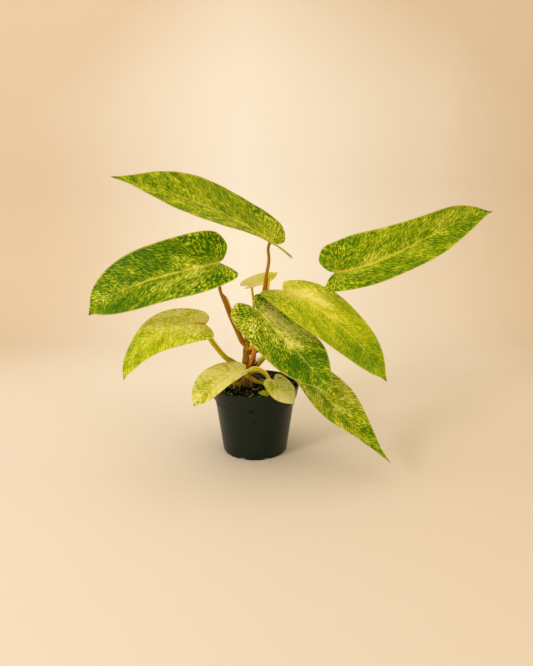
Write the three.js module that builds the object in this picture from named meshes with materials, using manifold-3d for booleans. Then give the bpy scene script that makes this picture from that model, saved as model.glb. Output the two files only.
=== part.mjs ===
// A potted painted lady philodendron: black nursery pot, potting mix, short stem on aerial roots and
// eleven heart-shaped variegated leaves on winged stalks. Millimetres, +Z up.
// The origin is the middle of the pot's foot, on the surface that it stands on.

import * as THREE from 'three';
import { mergeVertices } from 'three/addons/utils/BufferGeometryUtils.js';
import Module from 'manifold-3d';

const wasm = await Module();
wasm.setup();

// Pot: a 4 inch round nursery pot
const POT_HEIGHT = 82;
const RIM_TOP_RADIUS = 52.5;
const RIM_FOOT_RADIUS = 49.2;
const RIM_DEPTH = 16;
const BODY_TOP_RADIUS = 46.4;
const BASE_RADIUS = 38;
const POT_STEP = 2;
const POT_LIP = 1;
const LIP_ROUND = 0.4;
const POT_WALL = 1.4;
const POT_FLOOR = 1.8;
const FOOT_ROUND = 1.2;
const POT_SEGMENTS = 48;
const DRAIN_ARCHES = 8;
const DRAIN_WIDTH = 9;
const DRAIN_HEIGHT = 3;
const DRAIN_INNER_RADIUS = 31;
const DRAIN_SHOULDER = 0.4;
const CUT_MARGIN = 1;

// Potting mix
const SOIL_TOP = 77.5;
const SOIL_RELIEF = 1.6;
// The lumps of its top: two crossed waves and a finer slanting one, in radians a millimetre
const SOIL_WAVES = { x: 0.31, y: 0.27, slantX: 0.83, slantY: 0.71, shiftX: 1.3, shiftY: 0.4, fine: 0.6 };
const SOIL_RINGS = 7;
const SOIL_SEGMENTS = 32;
const SOIL_CLEARANCE = 0.5;
const SOIL_FLARE = 2;
const SOIL_STEP_RISE = 1.2;

// Room kept between neighbouring solids
const GAP = 0.3;

// Stem and aerial roots
const STEM_PATH = [
  [-14, 8, 54], [-13.5, 7, 70], [-12.6, 5.5, 88], [-10.8, 4, 104], [-9.4, 3, 122], [-8.6, 2.4, 138],
];
const STEM_RADIUS = 4.1;
const STEM_SIDES = 12;
const STEM_STEPS = 22;
const STEM_SCAR_PITCH = 13;
const STEM_SCAR = 0.35;
const STEM_TIP_TAPER = 0.25;
const STEM_TIP_START = 0.75;
const STEM_FOOT_TAPER = 0.12;
const STEM_FOOT_END = 0.25;
const ROOT_RADIUS = 0.9;
const ROOT_SIDES = 6;
const ROOT_STEPS = 6;
// Each root: where it leaves the stem, then where it enters the mix
const ROOTS = [
  [[-12, 2, 92], [-13, -6, 71]],
  [[-14, 3, 90], [-21, -4, 71]],
  [[-10, 3, 92], [-4, -7, 71]],
  [[-15, 6, 89], [-26, 6, 71]],
  [[-13, 2, 88], [-17, -9, 71]],
  [[-10, 5, 90], [0, 4, 71]],
  [[-12, 9, 91], [-9, 22, 71]],
  [[-13, 2, 93], [-24, -13, 71]],
];
const ROOT_BOW = 5;
const ROOT_SWELL = 1.25;
const ROOT_TAPER = 0.5;
const ROOT_DROP = 8;

// Leaf blades: half outline of a long heart. Lobe points are in lobe lengths behind the leaf base,
// body points in leaf lengths in front of it; the second number is in half widths.
const LOBE_OUTLINE = [[0, 0], [-0.5, 0.10], [-1, 0.42], [-0.72, 0.80], [0, 0.97]];
const POINTED_LOBE = [[0, 0], [-0.42, 0.2], [-0.8, 0.46], [-0.95, 0.7], [-0.42, 0.86]];
const BODY_OUTLINE = [[0.16, 1], [0.36, 0.95], [0.56, 0.78], [0.74, 0.50], [0.87, 0.24], [0.95, 0.085], [1, 0]];
const BODY_FULLNESS = [0, 0.03, 0.12, 0.19, 0.19, 0.07, 0];
const BLADE_THICKNESS = 0.8;
const KEEL_DEPTH = 1.1;
const SMALL_LEAF = 60;
const FULL_KEEL_LEAF = 90;
const LONG_CELLS = 22;
const SMALL_LONG_CELLS = 14;
const SIDE_COLUMNS = [0, 0.12, 0.4, 0.7, 1];
const SMALL_SIDE_COLUMNS = [0, 0.14, 0.55, 1];
// Share of the margin that is lobe, and how far along the midrib the veins of that share start
const LOBE_SHARE = 0.34;
const LOBE_VEIN_REACH = 0.04;
const VEIN_CURVE = 1.25;
const SPINE_STEPS = 80;
// The two sides of a blade wave out of step by this share of a wave
const WAVE_OFFSET = 0.4;
const VEIN_START_POWER = 1.1;

// Leaf stalks
const PETIOLE_SIDES = 10;
const PETIOLE_STEPS = 12;
const ATTACH_SHARE = 0.015;
const APPROACH = 9;
const APPROACH_LEAN = 0.5;
const STALK_SEAT = 0.45;
const STALK_TAPER = 0.7;
// Sheath of a stalk: how wide round the section, where it has risen, and how short it fades out
const WING_ANGLE = 0.45;
const WING_FOOT = 0.6;
const WING_RISE = 0.2;
const WING_FADE = 0.06;

// Cataphyll and old sheath
const CATAPHYLL_PATH = [
  [-8, -0.5, 98], [-5, -1.6, 104.5], [-2.4, -1.8, 112], [-0.6, -2, 121], [2, -4, 134], [3.4, -7, 147],
];
const CATAPHYLL_STEPS = 12;
const CATAPHYLL_TIP = 0.3;
const CATAPHYLL_RADIUS = 3;
// Its belly: where on half a wave it starts, how blunt it is, and how much slimmer it ends
const BELLY_START = 0.22;
const BELLY_POWER = 0.8;
const BELLY_FALL = 0.35;
const SHEATH_PATH = [
  [-16, -6, 84], [-19, -11, 83], [-23.5, -13, 83.5], [-26.5, -11, 86], [-23.5, -7.5, 88.5], [-19.5, -8.5, 89],
];
const SHEATH_STEPS = 14;
const SHEATH_SIDES = 8;
const SHEATH_RADIUS = 1.5;
const SHEATH_TAPER = 0.9;
const SHEATH_WING = 1.6;
const SHEATH_RISE = 0.3;
const SHEATH_FALL = 0.8;

const ROUGHNESS = { pot: 0.45, soil: 0.95, stem: 0.8, stalk: 0.5, cataphyll: 0.55, sheath: 0.7, leaf: 0.45 };
const COLOURS = {
  pot: 0x23261f,
  soil: 0x1c1712,
  stem: 0x7a5a22,
  cataphyll: 0xc45a22,
  sheath: 0xb8a040,
  redStalk: 0x8f5418,
  oliveStalk: 0x8e8424,
  paleStalk: 0xb59a3a,
  darkLeaf: 0x4f7d16,
  midLeaf: 0x7a9a1e,
  limeLeaf: 0xa9ac2c,
  creamLeaf: 0xc9c272,
};

// Every leaf. place: leaf base where the stalk joins. length and half width along and across the blade.
// heading: azimuth at base and tip. climb: elevation at base and tip, how late it bends, and how much
// it is raised halfway.
// roll: turn about the midrib at base and tip. left and right: fold of each half at base and tip.
// lobe: lobe length as a share of the length. pointed: the side whose lobe is pointed, 1 left or -1 right.
// full: fullness towards the tip. ripple: what the left half's width gains or loses at each body point.
// attach: where the stalk meets the midrib. lean: how far the stalk's end turns along the blade.
// wave: height of the margin's waves, how many, and where they start. stalk: points from the stem up.
// stalkRadius: at the foot and the top. wing: sheath height, its end along the stalk, and the side it faces.
const LEAVES = [
  {
    name: 'top_left', place: [20.7, 0, 245.6], length: 187.7, halfWidth: 42.9, lobe: 0.1, full: -0.08,
    attach: 0.012,
    heading: [206.1, 212], climb: [31.6, 10.8, 1.22, -2.8], roll: [-33.2, -50.3],
    left: [19.5, 12.5], right: [12.7, 15.1], wave: [2.2, 2.48, 0.09],
    colour: 'midLeaf', stalkColour: 'redStalk', stalkRadius: [2.6, 1.5],
    stalk: [[-8, 4, 130], [-3.5, 6, 134], [3, 7, 157], [10.4, 7, 188], [12.8, 6, 203], [16.4, 4, 224]],
    wing: [3.4, 0.55, [1, -0.3, 0]],
  },
  {
    name: 'top_right', place: [93, 10, 210.7], length: 210.8, halfWidth: 35.2, lobe: 0.085, full: 0.41,
    pointed: -1, ripple: [0.09, -0.02, -0.07, 0.03, 0.02],
    heading: [5.1, 21.4], climb: [6.7, 6.8, 3.5, 19.1], roll: [57.2, 62.3],
    left: [24, 36.3], right: [21.5, 28.2], wave: [4.4, 2.23, 0.78],
    colour: 'darkLeaf', stalkColour: 'redStalk', stalkRadius: [2.8, 1.7],
    stalk: [[-8.5, 7, 116], [2, 9, 118], [30, 16, 131], [60, 26, 153], [83, 32, 176], [92, 27, 195]],
    wing: [2.2, 0.5, [0, 0, 1]],
  },
  {
    name: 'upper_left', place: [-38.2, -18, 224.7], length: 158.5, halfWidth: 39.5, lobe: 0.09, full: 1.12,
    pointed: 1,
    heading: [195.1, 170.5], climb: [-12, -49.5, 3.14, -1], roll: [-49.4, -66.2],
    left: [19.3, 18], right: [14.3, 13.9], wave: [1.5, 2.91, 0.58],
    colour: 'darkLeaf', stalkColour: 'redStalk', stalkRadius: [2.6, 1.6],
    stalk: [[-10, 2, 126], [-15, 0, 131], [-20, -3, 143.5], [-26, -6, 158], [-32, -9, 176], [-38.5, -11, 196]],
    wing: [2.6, 0.62, [1, 0, 0.3]],
  },
  {
    name: 'lower_left', place: [-56.4, -17, 155.9], length: 119.6, halfWidth: 31.2, lobe: 0.07, full: 0.45,
    heading: [200.4, 192.3], climb: [9, -81.8, 1.19, 0], roll: [-26.1, -34.4],
    left: [2.2, -8.6], right: [-2.6, -13.1], wave: [1.6, 2.81, 0.35],
    colour: 'limeLeaf', stalkColour: 'oliveStalk', stalkRadius: [2.4, 1.3],
    stalk: [
      [-12, 6, 97], [-21, 6.5, 101], [-28.5, 5.5, 106], [-36, -2, 113], [-46.5, -13, 130], [-51.5, -16.5, 139],
    ],
    wing: [2.8, 0.72, [0.6, 0, 1]],
  },
  {
    name: 'rim_left', place: [-12.7, -24, 103.6], length: 69.3, halfWidth: 29.4, lobe: 0.12, full: 0.68,
    heading: [204.5, 212.1], climb: [-12.4, -48.3, 1.39, -0.8], roll: [4.2, -22.8],
    left: [15.2, 12.5], right: [9.5, 20], wave: [0.9, 2, 0],
    colour: 'creamLeaf', stalkColour: 'paleStalk', stalkRadius: [1.9, 1.2],
    stalk: [[-11, 2, 97], [-10.6, -6, 97.4], [-9.8, -15, 98]],
    wing: [0.8, 0.6, [1, 0, 0]],
  },
  {
    name: 'front', place: [5.6, -46, 174.9], length: 122.8, halfWidth: 39.7, lobe: 0.16, full: -0.08,
    heading: [-25.8, -60.2], climb: [-42, -31.2, 0.98, 2.6], roll: [11.1, 16.8],
    left: [-4.1, -0.4], right: [-3.7, -3.3], wave: [2.7, 2.61, 0.52],
    colour: 'darkLeaf', stalkColour: 'redStalk', stalkRadius: [2.6, 1.6],
    stalk: [[-8, 0, 134], [-7, -6, 139], [-4.5, -20, 149], [-2, -33, 157]],
    wing: [1.6, 0.5, [1, 0, 0]],
  },
  {
    name: 'mid_right', place: [34.8, -2, 190.8], length: 154.4, halfWidth: 43.3, lobe: 0.09, full: 0.46,
    heading: [-34.3, -23.9], climb: [-16.9, -58, 1.2, -0.2], roll: [8.4, 25.7],
    left: [3.2, -0.5], right: [4.9, -5.1], wave: [1.65, 3.04, 0.84],
    colour: 'limeLeaf', stalkColour: 'oliveStalk', stalkRadius: [2.6, 1.6],
    stalk: [[-8, 2, 122], [-2, 1.5, 126], [10, 2, 140], [22, 2, 160], [30, 0, 176]],
    wing: [1.8, 0.55, [1, 0, -0.6]],
  },
  {
    name: 'low_right', place: [52.3, -20, 104.7], length: 142.9, halfWidth: 35.3, lobe: 0.13, full: -0.68,
    heading: [-34.7, -49], climb: [-40.2, -27, 1.39, 3], roll: [0.2, 12.4],
    left: [9.8, 16.5], right: [11.6, 17.9], wave: [1.8, 3.27, 0.46],
    colour: 'midLeaf', stalkColour: 'oliveStalk', stalkRadius: [2.6, 1.4], lean: 0.7,
    stalk: [[-8, 3, 97], [0, 1, 101], [6, -1, 108], [14, -4, 117], [25, -8, 117], [36, -11, 109]],
    wing: [1.8, 0.45, [0.7, 0, -0.7]],
  },
  {
    name: 'rim_right', place: [23.4, -36, 95.2], length: 33.9, halfWidth: 18.7, lobe: 0.2, full: 0.19,
    heading: [-34.9, -34.8], climb: [-40.6, -43.1, 1.5, -0.3], roll: [2.4, 15.4],
    left: [0.5, 0.3], right: [-6.3, -11.8], wave: [0.5, 2.02, 0.01],
    colour: 'creamLeaf', stalkColour: 'paleStalk', stalkRadius: [3.5, 1.5],
    stalk: [[-10, 2, 92], [-7.5, -6, 94.5], [-2, -14, 101.5], [5, -21, 103.5], [12.5, -28, 101.5]],
    wing: [1.6, 0.85, [-0.3, 0, 1]],
  },
  {
    name: 'soil_right', place: [15, -37, 81], length: 11, halfWidth: 3.8, lobe: 0.15, full: 0,
    heading: [183, 183], climb: [12, -4, 1, 0], roll: [-38, -38],
    left: [8, 8], right: [8, 8], wave: [0.2, 1, 0],
    colour: 'midLeaf', stalkColour: 'paleStalk', stalkRadius: [2.6, 0.7],
    stalk: [
      [-11, 2, 92], [-7.5, -4, 91], [-3, -9, 88.5], [2, -13, 86.6], [9, -19, 87], [14.5, -27, 84.5],
      [17.4, -34.5, 80],
    ],
    wing: [0.9, 0.5, [0, 0, 1]],
  },
  {
    name: 'back', place: [-3, 26.4, 195], length: 36.4, halfWidth: 14.1, lobe: 0.35, full: 0.1,
    heading: [24, 31.7], climb: [17.5, 20.9, 1.5, 1.2], roll: [9, 25.2],
    left: [13.6, 13.9], right: [9.9, 7.3], wave: [0.45, 2.02, 0.51],
    colour: 'limeLeaf', stalkColour: 'paleStalk', stalkRadius: [1.8, 1.2],
    stalk: [[-8.5, 5, 128], [-6.2, 9.6, 134], [-3.2, 15, 149], [-1.2, 20.5, 171]],
    wing: [0.8, 0.4, [1, 0, 0]],
  },
];

// Small helpers
const vec = (p) => new THREE.Vector3(...p);
const radians = THREE.MathUtils.degToRad;
const between = (pair, t) => pair[0] + (pair[1] - pair[0]) * t;
const smoothstep = THREE.MathUtils.smoothstep;

function material(colour, roughness) {
  return new THREE.MeshStandardMaterial({ color: COLOURS[colour], roughness, metalness: 0 });
}

function piece(name, geometry, colour, roughness) {
  geometry.computeVertexNormals();
  const mesh = new THREE.Mesh(geometry, material(colour, roughness));
  mesh.name = name;
  return mesh;
}

// A geometry from points and faces, leaving out faces that have shrunk to a line
function surface(points, faces) {
  const kept = faces.filter(([a, b, c]) => a !== b && b !== c && c !== a);
  const geometry = new THREE.BufferGeometry();
  const numbers = points.flatMap((p) => [p.x, p.y, p.z]);
  geometry.setAttribute('position', new THREE.Float32BufferAttribute(numbers, 3));
  geometry.setIndex(kept.flat());
  return geometry;
}

// Joining and cutting
function toSolid(geometry) {
  const bare = geometry.clone();
  bare.deleteAttribute('normal');
  bare.deleteAttribute('uv');
  const merged = mergeVertices(bare, 1e-4);
  return new wasm.Manifold(new wasm.Mesh({
    numProp: 3,
    vertProperties: new Float32Array(merged.attributes.position.array),
    triVerts: new Uint32Array(merged.index.array),
  }));
}

function toGeometry(solid) {
  const mesh = solid.getMesh();
  const geometry = new THREE.BufferGeometry();
  geometry.setAttribute('position', new THREE.BufferAttribute(new Float32Array(mesh.vertProperties), 3));
  geometry.setIndex(new THREE.BufferAttribute(new Uint32Array(mesh.triVerts), 1));
  return geometry;
}

// Keeps the largest body of a cut and drops loose scraps
function largest(solid) {
  return solid.decompose().reduce((best, body) => (body.volume() > best.volume() ? body : best));
}

// A closed tube along a smooth curve. The section is a circle with a wing that stands out on the side
// that faces `side`; radius and wing are functions of the share of the length. swell makes the whole
// tube that much larger, ends included, to cut room for it in its neighbours.
function tube(points, { steps, sides, radius, wing = () => 0, side = [1, 0, 0], swell = 0 }) {
  const curve = new THREE.CatmullRomCurve3(points.map(vec), false, 'catmullrom');
  const towards = vec(side);
  const ring = [];
  const centres = [];
  for (let i = 0; i <= steps; i += 1) {
    const t = i / steps;
    const tangent = curve.getTangent(t);
    const atEnd = i === 0 ? -1 : Number(i === steps);
    const centre = curve.getPoint(t).addScaledVector(tangent, atEnd * swell);
    const out = towards.clone().addScaledVector(tangent, -towards.dot(tangent)).normalize();
    const across = tangent.clone().cross(out);
    centres.push(centre);
    for (let k = 0; k < sides; k += 1) {
      const angle = (2 * Math.PI * k) / sides;
      const turn = Math.min(angle, 2 * Math.PI - angle);
      const reach = radius(t) + swell + wing(t) * Math.exp(-((turn / WING_ANGLE) ** 2));
      ring.push(centre.clone()
        .addScaledVector(out, reach * Math.cos(angle))
        .addScaledVector(across, reach * Math.sin(angle)));
    }
  }
  const points3 = [...ring, centres[0], centres[steps]];
  const faces = [];
  for (let i = 0; i < steps; i += 1) {
    for (let k = 0; k < sides; k += 1) {
      const a = i * sides + k;
      const b = i * sides + ((k + 1) % sides);
      faces.push([a, b, b + sides], [a, b + sides, a + sides]);
    }
  }
  const last = steps * sides;
  for (let k = 0; k < sides; k += 1) {
    const next = (k + 1) % sides;
    faces.push([ring.length, next, k], [ring.length + 1, last + k, last + next]);
  }
  return surface(points3, faces);
}

// Pot: turned wall with a rim band, then drain arches cut through the foot
function potOutline() {
  const rimFoot = POT_HEIGHT - RIM_DEPTH;
  const outer = [
    [0, 0],
    [BASE_RADIUS - FOOT_ROUND, 0],
    [BASE_RADIUS, FOOT_ROUND],
    [BODY_TOP_RADIUS, rimFoot - POT_STEP],
    [RIM_FOOT_RADIUS, rimFoot],
    [RIM_TOP_RADIUS, POT_HEIGHT - POT_LIP],
    [RIM_TOP_RADIUS - LIP_ROUND, POT_HEIGHT],
  ];
  const inner = [
    [RIM_TOP_RADIUS - POT_WALL, POT_HEIGHT],
    [RIM_FOOT_RADIUS - POT_WALL, rimFoot + POT_STEP / 2],
    [BODY_TOP_RADIUS - POT_WALL, rimFoot - POT_STEP / 2],
    [BASE_RADIUS - POT_WALL, POT_FLOOR],
    [0, POT_FLOOR],
  ];
  return [...outer, ...inner];
}

function turned(outline, segments) {
  const lathe = new THREE.LatheGeometry(outline.map(([r, z]) => new THREE.Vector2(r, z)), segments);
  lathe.rotateX(Math.PI / 2);
  return lathe;
}

function drainArch() {
  const shape = new THREE.Shape();
  const half = DRAIN_WIDTH / 2;
  shape.moveTo(-half, -CUT_MARGIN);
  shape.lineTo(half, -CUT_MARGIN);
  shape.lineTo(half, DRAIN_HEIGHT * DRAIN_SHOULDER);
  shape.quadraticCurveTo(half, DRAIN_HEIGHT, 0, DRAIN_HEIGHT);
  shape.quadraticCurveTo(-half, DRAIN_HEIGHT, -half, DRAIN_HEIGHT * DRAIN_SHOULDER);
  const arch = new THREE.ExtrudeGeometry(shape, {
    depth: BASE_RADIUS - DRAIN_INNER_RADIUS + CUT_MARGIN,
    bevelEnabled: false,
    curveSegments: 3,
  });
  arch.rotateX(Math.PI / 2);
  arch.translate(0, -DRAIN_INNER_RADIUS, 0);
  return arch;
}

function makePot() {
  let solid = toSolid(turned(potOutline(), POT_SEGMENTS));
  for (let k = 0; k < DRAIN_ARCHES; k += 1) {
    const arch = drainArch();
    arch.rotateZ((2 * Math.PI * (k + 0.5)) / DRAIN_ARCHES);
    solid = solid.subtract(toSolid(arch));
  }
  return piece('pot', toGeometry(solid), 'pot', ROUGHNESS.pot);
}

// Potting mix: the inside of the pot, with a lumpy top
function soilHeight(x, y) {
  const w = SOIL_WAVES;
  const crossed = Math.sin(x * w.x + w.shiftX) * Math.cos(y * w.y - w.shiftY);
  const slanting = Math.sin(x * w.slantX - y * w.slantY);
  return SOIL_TOP + SOIL_RELIEF * w.fine * (crossed + w.fine * slanting);
}

function makeSoil(cutters) {
  const rimFoot = POT_HEIGHT - RIM_DEPTH;
  const inset = POT_WALL + SOIL_CLEARANCE;
  const topRadius = RIM_FOOT_RADIUS - inset + SOIL_FLARE;
  const wall = [
    [topRadius, SOIL_TOP],
    [RIM_FOOT_RADIUS - inset, rimFoot + SOIL_STEP_RISE],
    [BODY_TOP_RADIUS - inset, rimFoot - POT_STEP / 2],
    [BASE_RADIUS - inset, POT_FLOOR + GAP],
  ];
  const points = [new THREE.Vector3(0, 0, soilHeight(0, 0))];
  const addRing = (radius, height) => {
    for (let k = 0; k < SOIL_SEGMENTS; k += 1) {
      const angle = (2 * Math.PI * k) / SOIL_SEGMENTS;
      const x = radius * Math.cos(angle);
      const y = radius * Math.sin(angle);
      points.push(new THREE.Vector3(x, y, height ?? soilHeight(x, y)));
    }
  };
  for (let i = 1; i <= SOIL_RINGS; i += 1) addRing((topRadius * i) / SOIL_RINGS);
  wall.slice(1).forEach(([radius, height]) => addRing(radius, height));
  points.push(new THREE.Vector3(0, 0, POT_FLOOR + GAP));
  const rings = SOIL_RINGS + wall.length - 1;
  const at = (ring, k) => 1 + (ring - 1) * SOIL_SEGMENTS + (k % SOIL_SEGMENTS);
  const faces = [];
  for (let k = 0; k < SOIL_SEGMENTS; k += 1) {
    faces.push([0, at(1, k), at(1, k + 1)]);
    for (let ring = 1; ring < rings; ring += 1) {
      faces.push([at(ring, k), at(ring + 1, k), at(ring + 1, k + 1)]);
      faces.push([at(ring, k), at(ring + 1, k + 1), at(ring, k + 1)]);
    }
    faces.push([points.length - 1, at(rings, k + 1), at(rings, k)]);
  }
  const solid = cutters.reduce((body, cutter) => body.subtract(cutter), toSolid(surface(points, faces)));
  return piece('soil', toGeometry(largest(solid)), 'soil', ROUGHNESS.soil);
}

// Stem with leaf scars, fused with the aerial roots that hold it over the mix
function stemSolid(swell = 0) {
  const length = STEM_PATH[STEM_PATH.length - 1][2] - STEM_PATH[0][2];
  const scar = (t) => STEM_SCAR * Math.cos((2 * Math.PI * t * length) / STEM_SCAR_PITCH);
  const tip = (t) => STEM_TIP_TAPER * smoothstep(t, STEM_TIP_START, 1);
  const foot = (t) => STEM_FOOT_TAPER * (1 - smoothstep(t, 0, STEM_FOOT_END));
  let solid = toSolid(tube(STEM_PATH, {
    steps: STEM_STEPS,
    sides: STEM_SIDES,
    radius: (t) => STEM_RADIUS * (1 - tip(t) - foot(t)) + scar(t),
    swell,
  }));
  ROOTS.forEach(([from, to]) => {
    const bow = new THREE.Vector2(to[0] - from[0], to[1] - from[1]).normalize().multiplyScalar(ROOT_BOW);
    const middle = [(from[0] + to[0]) / 2 + bow.x, (from[1] + to[1]) / 2 + bow.y, (from[2] * 2 + to[2]) / 3];
    const root = tube([from, middle, [to[0], to[1], to[2] + ROOT_DROP], to], {
      steps: ROOT_STEPS,
      sides: ROOT_SIDES,
      radius: (t) => ROOT_RADIUS * (ROOT_SWELL - ROOT_TAPER * t),
      swell,
    });
    solid = solid.add(toSolid(root));
  });
  return solid;
}

// Half outline of a blade as a smooth curve: x along the midrib and y across, in millimetres
function outlineCurve(leaf, side) {
  const shape = leaf.pointed === side ? POINTED_LOBE : LOBE_OUTLINE;
  const ripple = (side > 0 && leaf.ripple) || [];
  const lobe = shape.map(([x, y]) => [x * leaf.lobe * leaf.length, y * leaf.halfWidth]);
  const body = BODY_OUTLINE.map(([x, y], i) => [
    x * leaf.length,
    (y + BODY_FULLNESS[i] * leaf.full + (ripple[i] ?? 0)) * leaf.halfWidth,
  ]);
  const points = [...lobe, ...body].map(([x, y]) => new THREE.Vector3(x, y, 0));
  return new THREE.CatmullRomCurve3(points, false, 'catmullrom');
}

// Direction along the midrib, to the left and up from the blade, at share t of its length
function bladeFrame(leaf, t) {
  const heading = radians(between(leaf.heading, t));
  const [baseClimb, tipClimb, lateness, arch] = leaf.climb;
  const bend = (tipClimb - baseClimb) * t ** lateness + arch * Math.sin(Math.PI * t);
  const climb = radians(baseClimb + bend);
  const roll = radians(between(leaf.roll, t));
  const along = new THREE.Vector3(
    Math.cos(climb) * Math.cos(heading),
    Math.cos(climb) * Math.sin(heading),
    Math.sin(climb),
  );
  const level = new THREE.Vector3(-Math.sin(heading), Math.cos(heading), 0);
  const above = along.clone().cross(level);
  const left = level.clone().multiplyScalar(Math.cos(roll)).addScaledVector(above, Math.sin(roll));
  const up = above.multiplyScalar(Math.cos(roll)).addScaledVector(level, -Math.sin(roll));
  return { along, left, up };
}

// The midrib as a list of points, adding up short steps along it from the leaf base
function midrib(leaf) {
  const points = [vec(leaf.place)];
  const step = leaf.length / SPINE_STEPS;
  for (let i = 0; i < SPINE_STEPS; i += 1) {
    const start = bladeFrame(leaf, i / SPINE_STEPS).along;
    const end = bladeFrame(leaf, (i + 1) / SPINE_STEPS).along;
    points.push(points[i].clone().addScaledVector(start.add(end), step / 2));
  }
  return points;
}

function midribPoint(leaf, spine, x) {
  const share = THREE.MathUtils.clamp(x / leaf.length, 0, 1);
  const index = Math.min(Math.floor(share * SPINE_STEPS), SPINE_STEPS - 1);
  const point = spine[index].clone().lerp(spine[index + 1], share * SPINE_STEPS - index);
  return x < 0 ? point.addScaledVector(bladeFrame(leaf, 0).along, x) : point;
}

// Where vein u (0 at the notch, 1 at the tip) leaves the midrib, as a share of the length
function veinStart(u) {
  if (u < LOBE_SHARE) return (LOBE_VEIN_REACH * u) / LOBE_SHARE;
  const past = (u - LOBE_SHARE) / (1 - LOBE_SHARE);
  return LOBE_VEIN_REACH + (1 - LOBE_VEIN_REACH) * past ** VEIN_START_POWER;
}

// A point of the blade's middle layer: vein u, share v of the way to the margin, side 1 left or -1 right
function bladePoint(leaf, spine, curve, u, v, side) {
  const edge = curve.getPoint(u);
  const start = veinStart(u) * leaf.length;
  const x = start + (edge.x - start) * v ** VEIN_CURVE;
  const y = edge.y * v;
  const t = THREE.MathUtils.clamp(x / leaf.length, 0, 1);
  const { left, up } = bladeFrame(leaf, t);
  const fold = radians(between(side > 0 ? leaf.left : leaf.right, t));
  const out = left.clone().multiplyScalar(side);
  const [height, count, phase] = leaf.wave;
  const turns = count * u + phase + (side < 0 ? WAVE_OFFSET : 0);
  const wave = height * v * v * Math.sin(Math.PI * u) * Math.sin(2 * Math.PI * turns);
  const normal = up.clone().multiplyScalar(Math.cos(fold)).addScaledVector(out, -Math.sin(fold));
  const point = midribPoint(leaf, spine, x)
    .addScaledVector(out, y * Math.cos(fold))
    .addScaledVector(up, y * Math.sin(fold))
    .addScaledVector(normal, wave);
  return { point, normal: v === 0 ? up : normal };
}

// How far the midrib stands out below at the base: less on a small leaf
function keelDepth(leaf) {
  return KEEL_DEPTH * Math.min(1, leaf.length / FULL_KEEL_LEAF);
}

// A blade: upper and lower faces on one grid of veins, split alike, joined round the margin,
// with the midrib standing out below as a keel
function bladeGeometry(leaf) {
  const small = leaf.length < SMALL_LEAF;
  const cells = small ? SMALL_LONG_CELLS : LONG_CELLS;
  const half = small ? SMALL_SIDE_COLUMNS : SIDE_COLUMNS;
  const columns = [...half.slice(1).reverse().map((v) => -v), ...half];
  const spine = midrib(leaf);
  const curves = { left: outlineCurve(leaf, 1), right: outlineCurve(leaf, -1) };
  const points = [];
  const ids = [[], []];
  for (let i = 0; i <= cells; i += 1) {
    const u = i / cells;
    const pole = i === 0 || i === cells;
    const keel = keelDepth(leaf) * (1 - u);
    [1, -1].forEach((face, layer) => {
      ids[layer].push(columns.map((v, c) => {
        if (pole && c > 0) return points.length - 1;
        const side = v < 0 ? -1 : 1;
        const curve = side < 0 ? curves.right : curves.left;
        const { point, normal } = bladePoint(leaf, spine, curve, u, pole ? 0 : Math.abs(v), side);
        const depth = BLADE_THICKNESS / 2 + (v === 0 && face < 0 && !pole ? keel : 0);
        return points.push(point.addScaledVector(normal, face * depth)) - 1;
      }));
    });
  }
  const [top, bottom] = ids;
  const faces = [];
  const lastColumn = columns.length - 1;
  for (let i = 0; i < cells; i += 1) {
    for (let c = 0; c < lastColumn; c += 1) {
      faces.push([top[i][c], top[i + 1][c], top[i + 1][c + 1]]);
      faces.push([top[i][c], top[i + 1][c + 1], top[i][c + 1]]);
      faces.push([bottom[i][c], bottom[i + 1][c + 1], bottom[i + 1][c]]);
      faces.push([bottom[i][c], bottom[i][c + 1], bottom[i + 1][c + 1]]);
    }
    faces.push([top[i][lastColumn], top[i + 1][lastColumn], bottom[i + 1][lastColumn]]);
    faces.push([top[i][lastColumn], bottom[i + 1][lastColumn], bottom[i][lastColumn]]);
    faces.push([top[i + 1][0], top[i][0], bottom[i][0]], [top[i + 1][0], bottom[i][0], bottom[i + 1][0]]);
  }
  return surface(points, faces);
}

// The end of a stalk under its blade: the point just clear of the keel, and one on the way to it
function stalkEnd(leaf) {
  const { along, up } = bladeFrame(leaf, 0);
  const radius = leaf.stalkRadius[1];
  const approach = up.clone().addScaledVector(along, leaf.lean ?? APPROACH_LEAN).normalize();
  const drop = BLADE_THICKNESS / 2 + keelDepth(leaf) + GAP + radius * STALK_SEAT;
  const seat = (leaf.attach ?? ATTACH_SHARE) * leaf.length;
  const end = midribPoint(leaf, midrib(leaf), seat).addScaledVector(up, -drop);
  const reach = APPROACH * Math.min(1, leaf.length / SMALL_LEAF);
  return [end.clone().addScaledVector(approach, -reach).toArray(), end.toArray()];
}

// A stalk: tapered, with a sheath that stands out as a wing and stops short of the top
function stalkGeometry(leaf, swell = 0) {
  const [height, end, side] = leaf.wing;
  const rise = (t) => (WING_FOOT + (1 - WING_FOOT) * (t / end)) * smoothstep(t, 0, WING_RISE);
  return tube([...leaf.stalk, ...stalkEnd(leaf)], {
    steps: PETIOLE_STEPS,
    sides: PETIOLE_SIDES,
    side,
    swell,
    radius: (t) => between(leaf.stalkRadius, t ** STALK_TAPER),
    wing: (t) => height * rise(t) * (1 - smoothstep(t, end, end + WING_FADE)),
  });
}

// Cataphyll: the pointed sheath round the next leaf
function cataphyllGeometry() {
  const bulge = (t) => Math.sin(Math.PI * between([BELLY_START, 1], t)) ** BELLY_POWER;
  return tube(CATAPHYLL_PATH, {
    steps: CATAPHYLL_STEPS,
    sides: PETIOLE_SIDES,
    side: [1, 0, 0],
    radius: (t) => CATAPHYLL_TIP + CATAPHYLL_RADIUS * bulge(t) * (1 - BELLY_FALL * t),
  });
}

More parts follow.
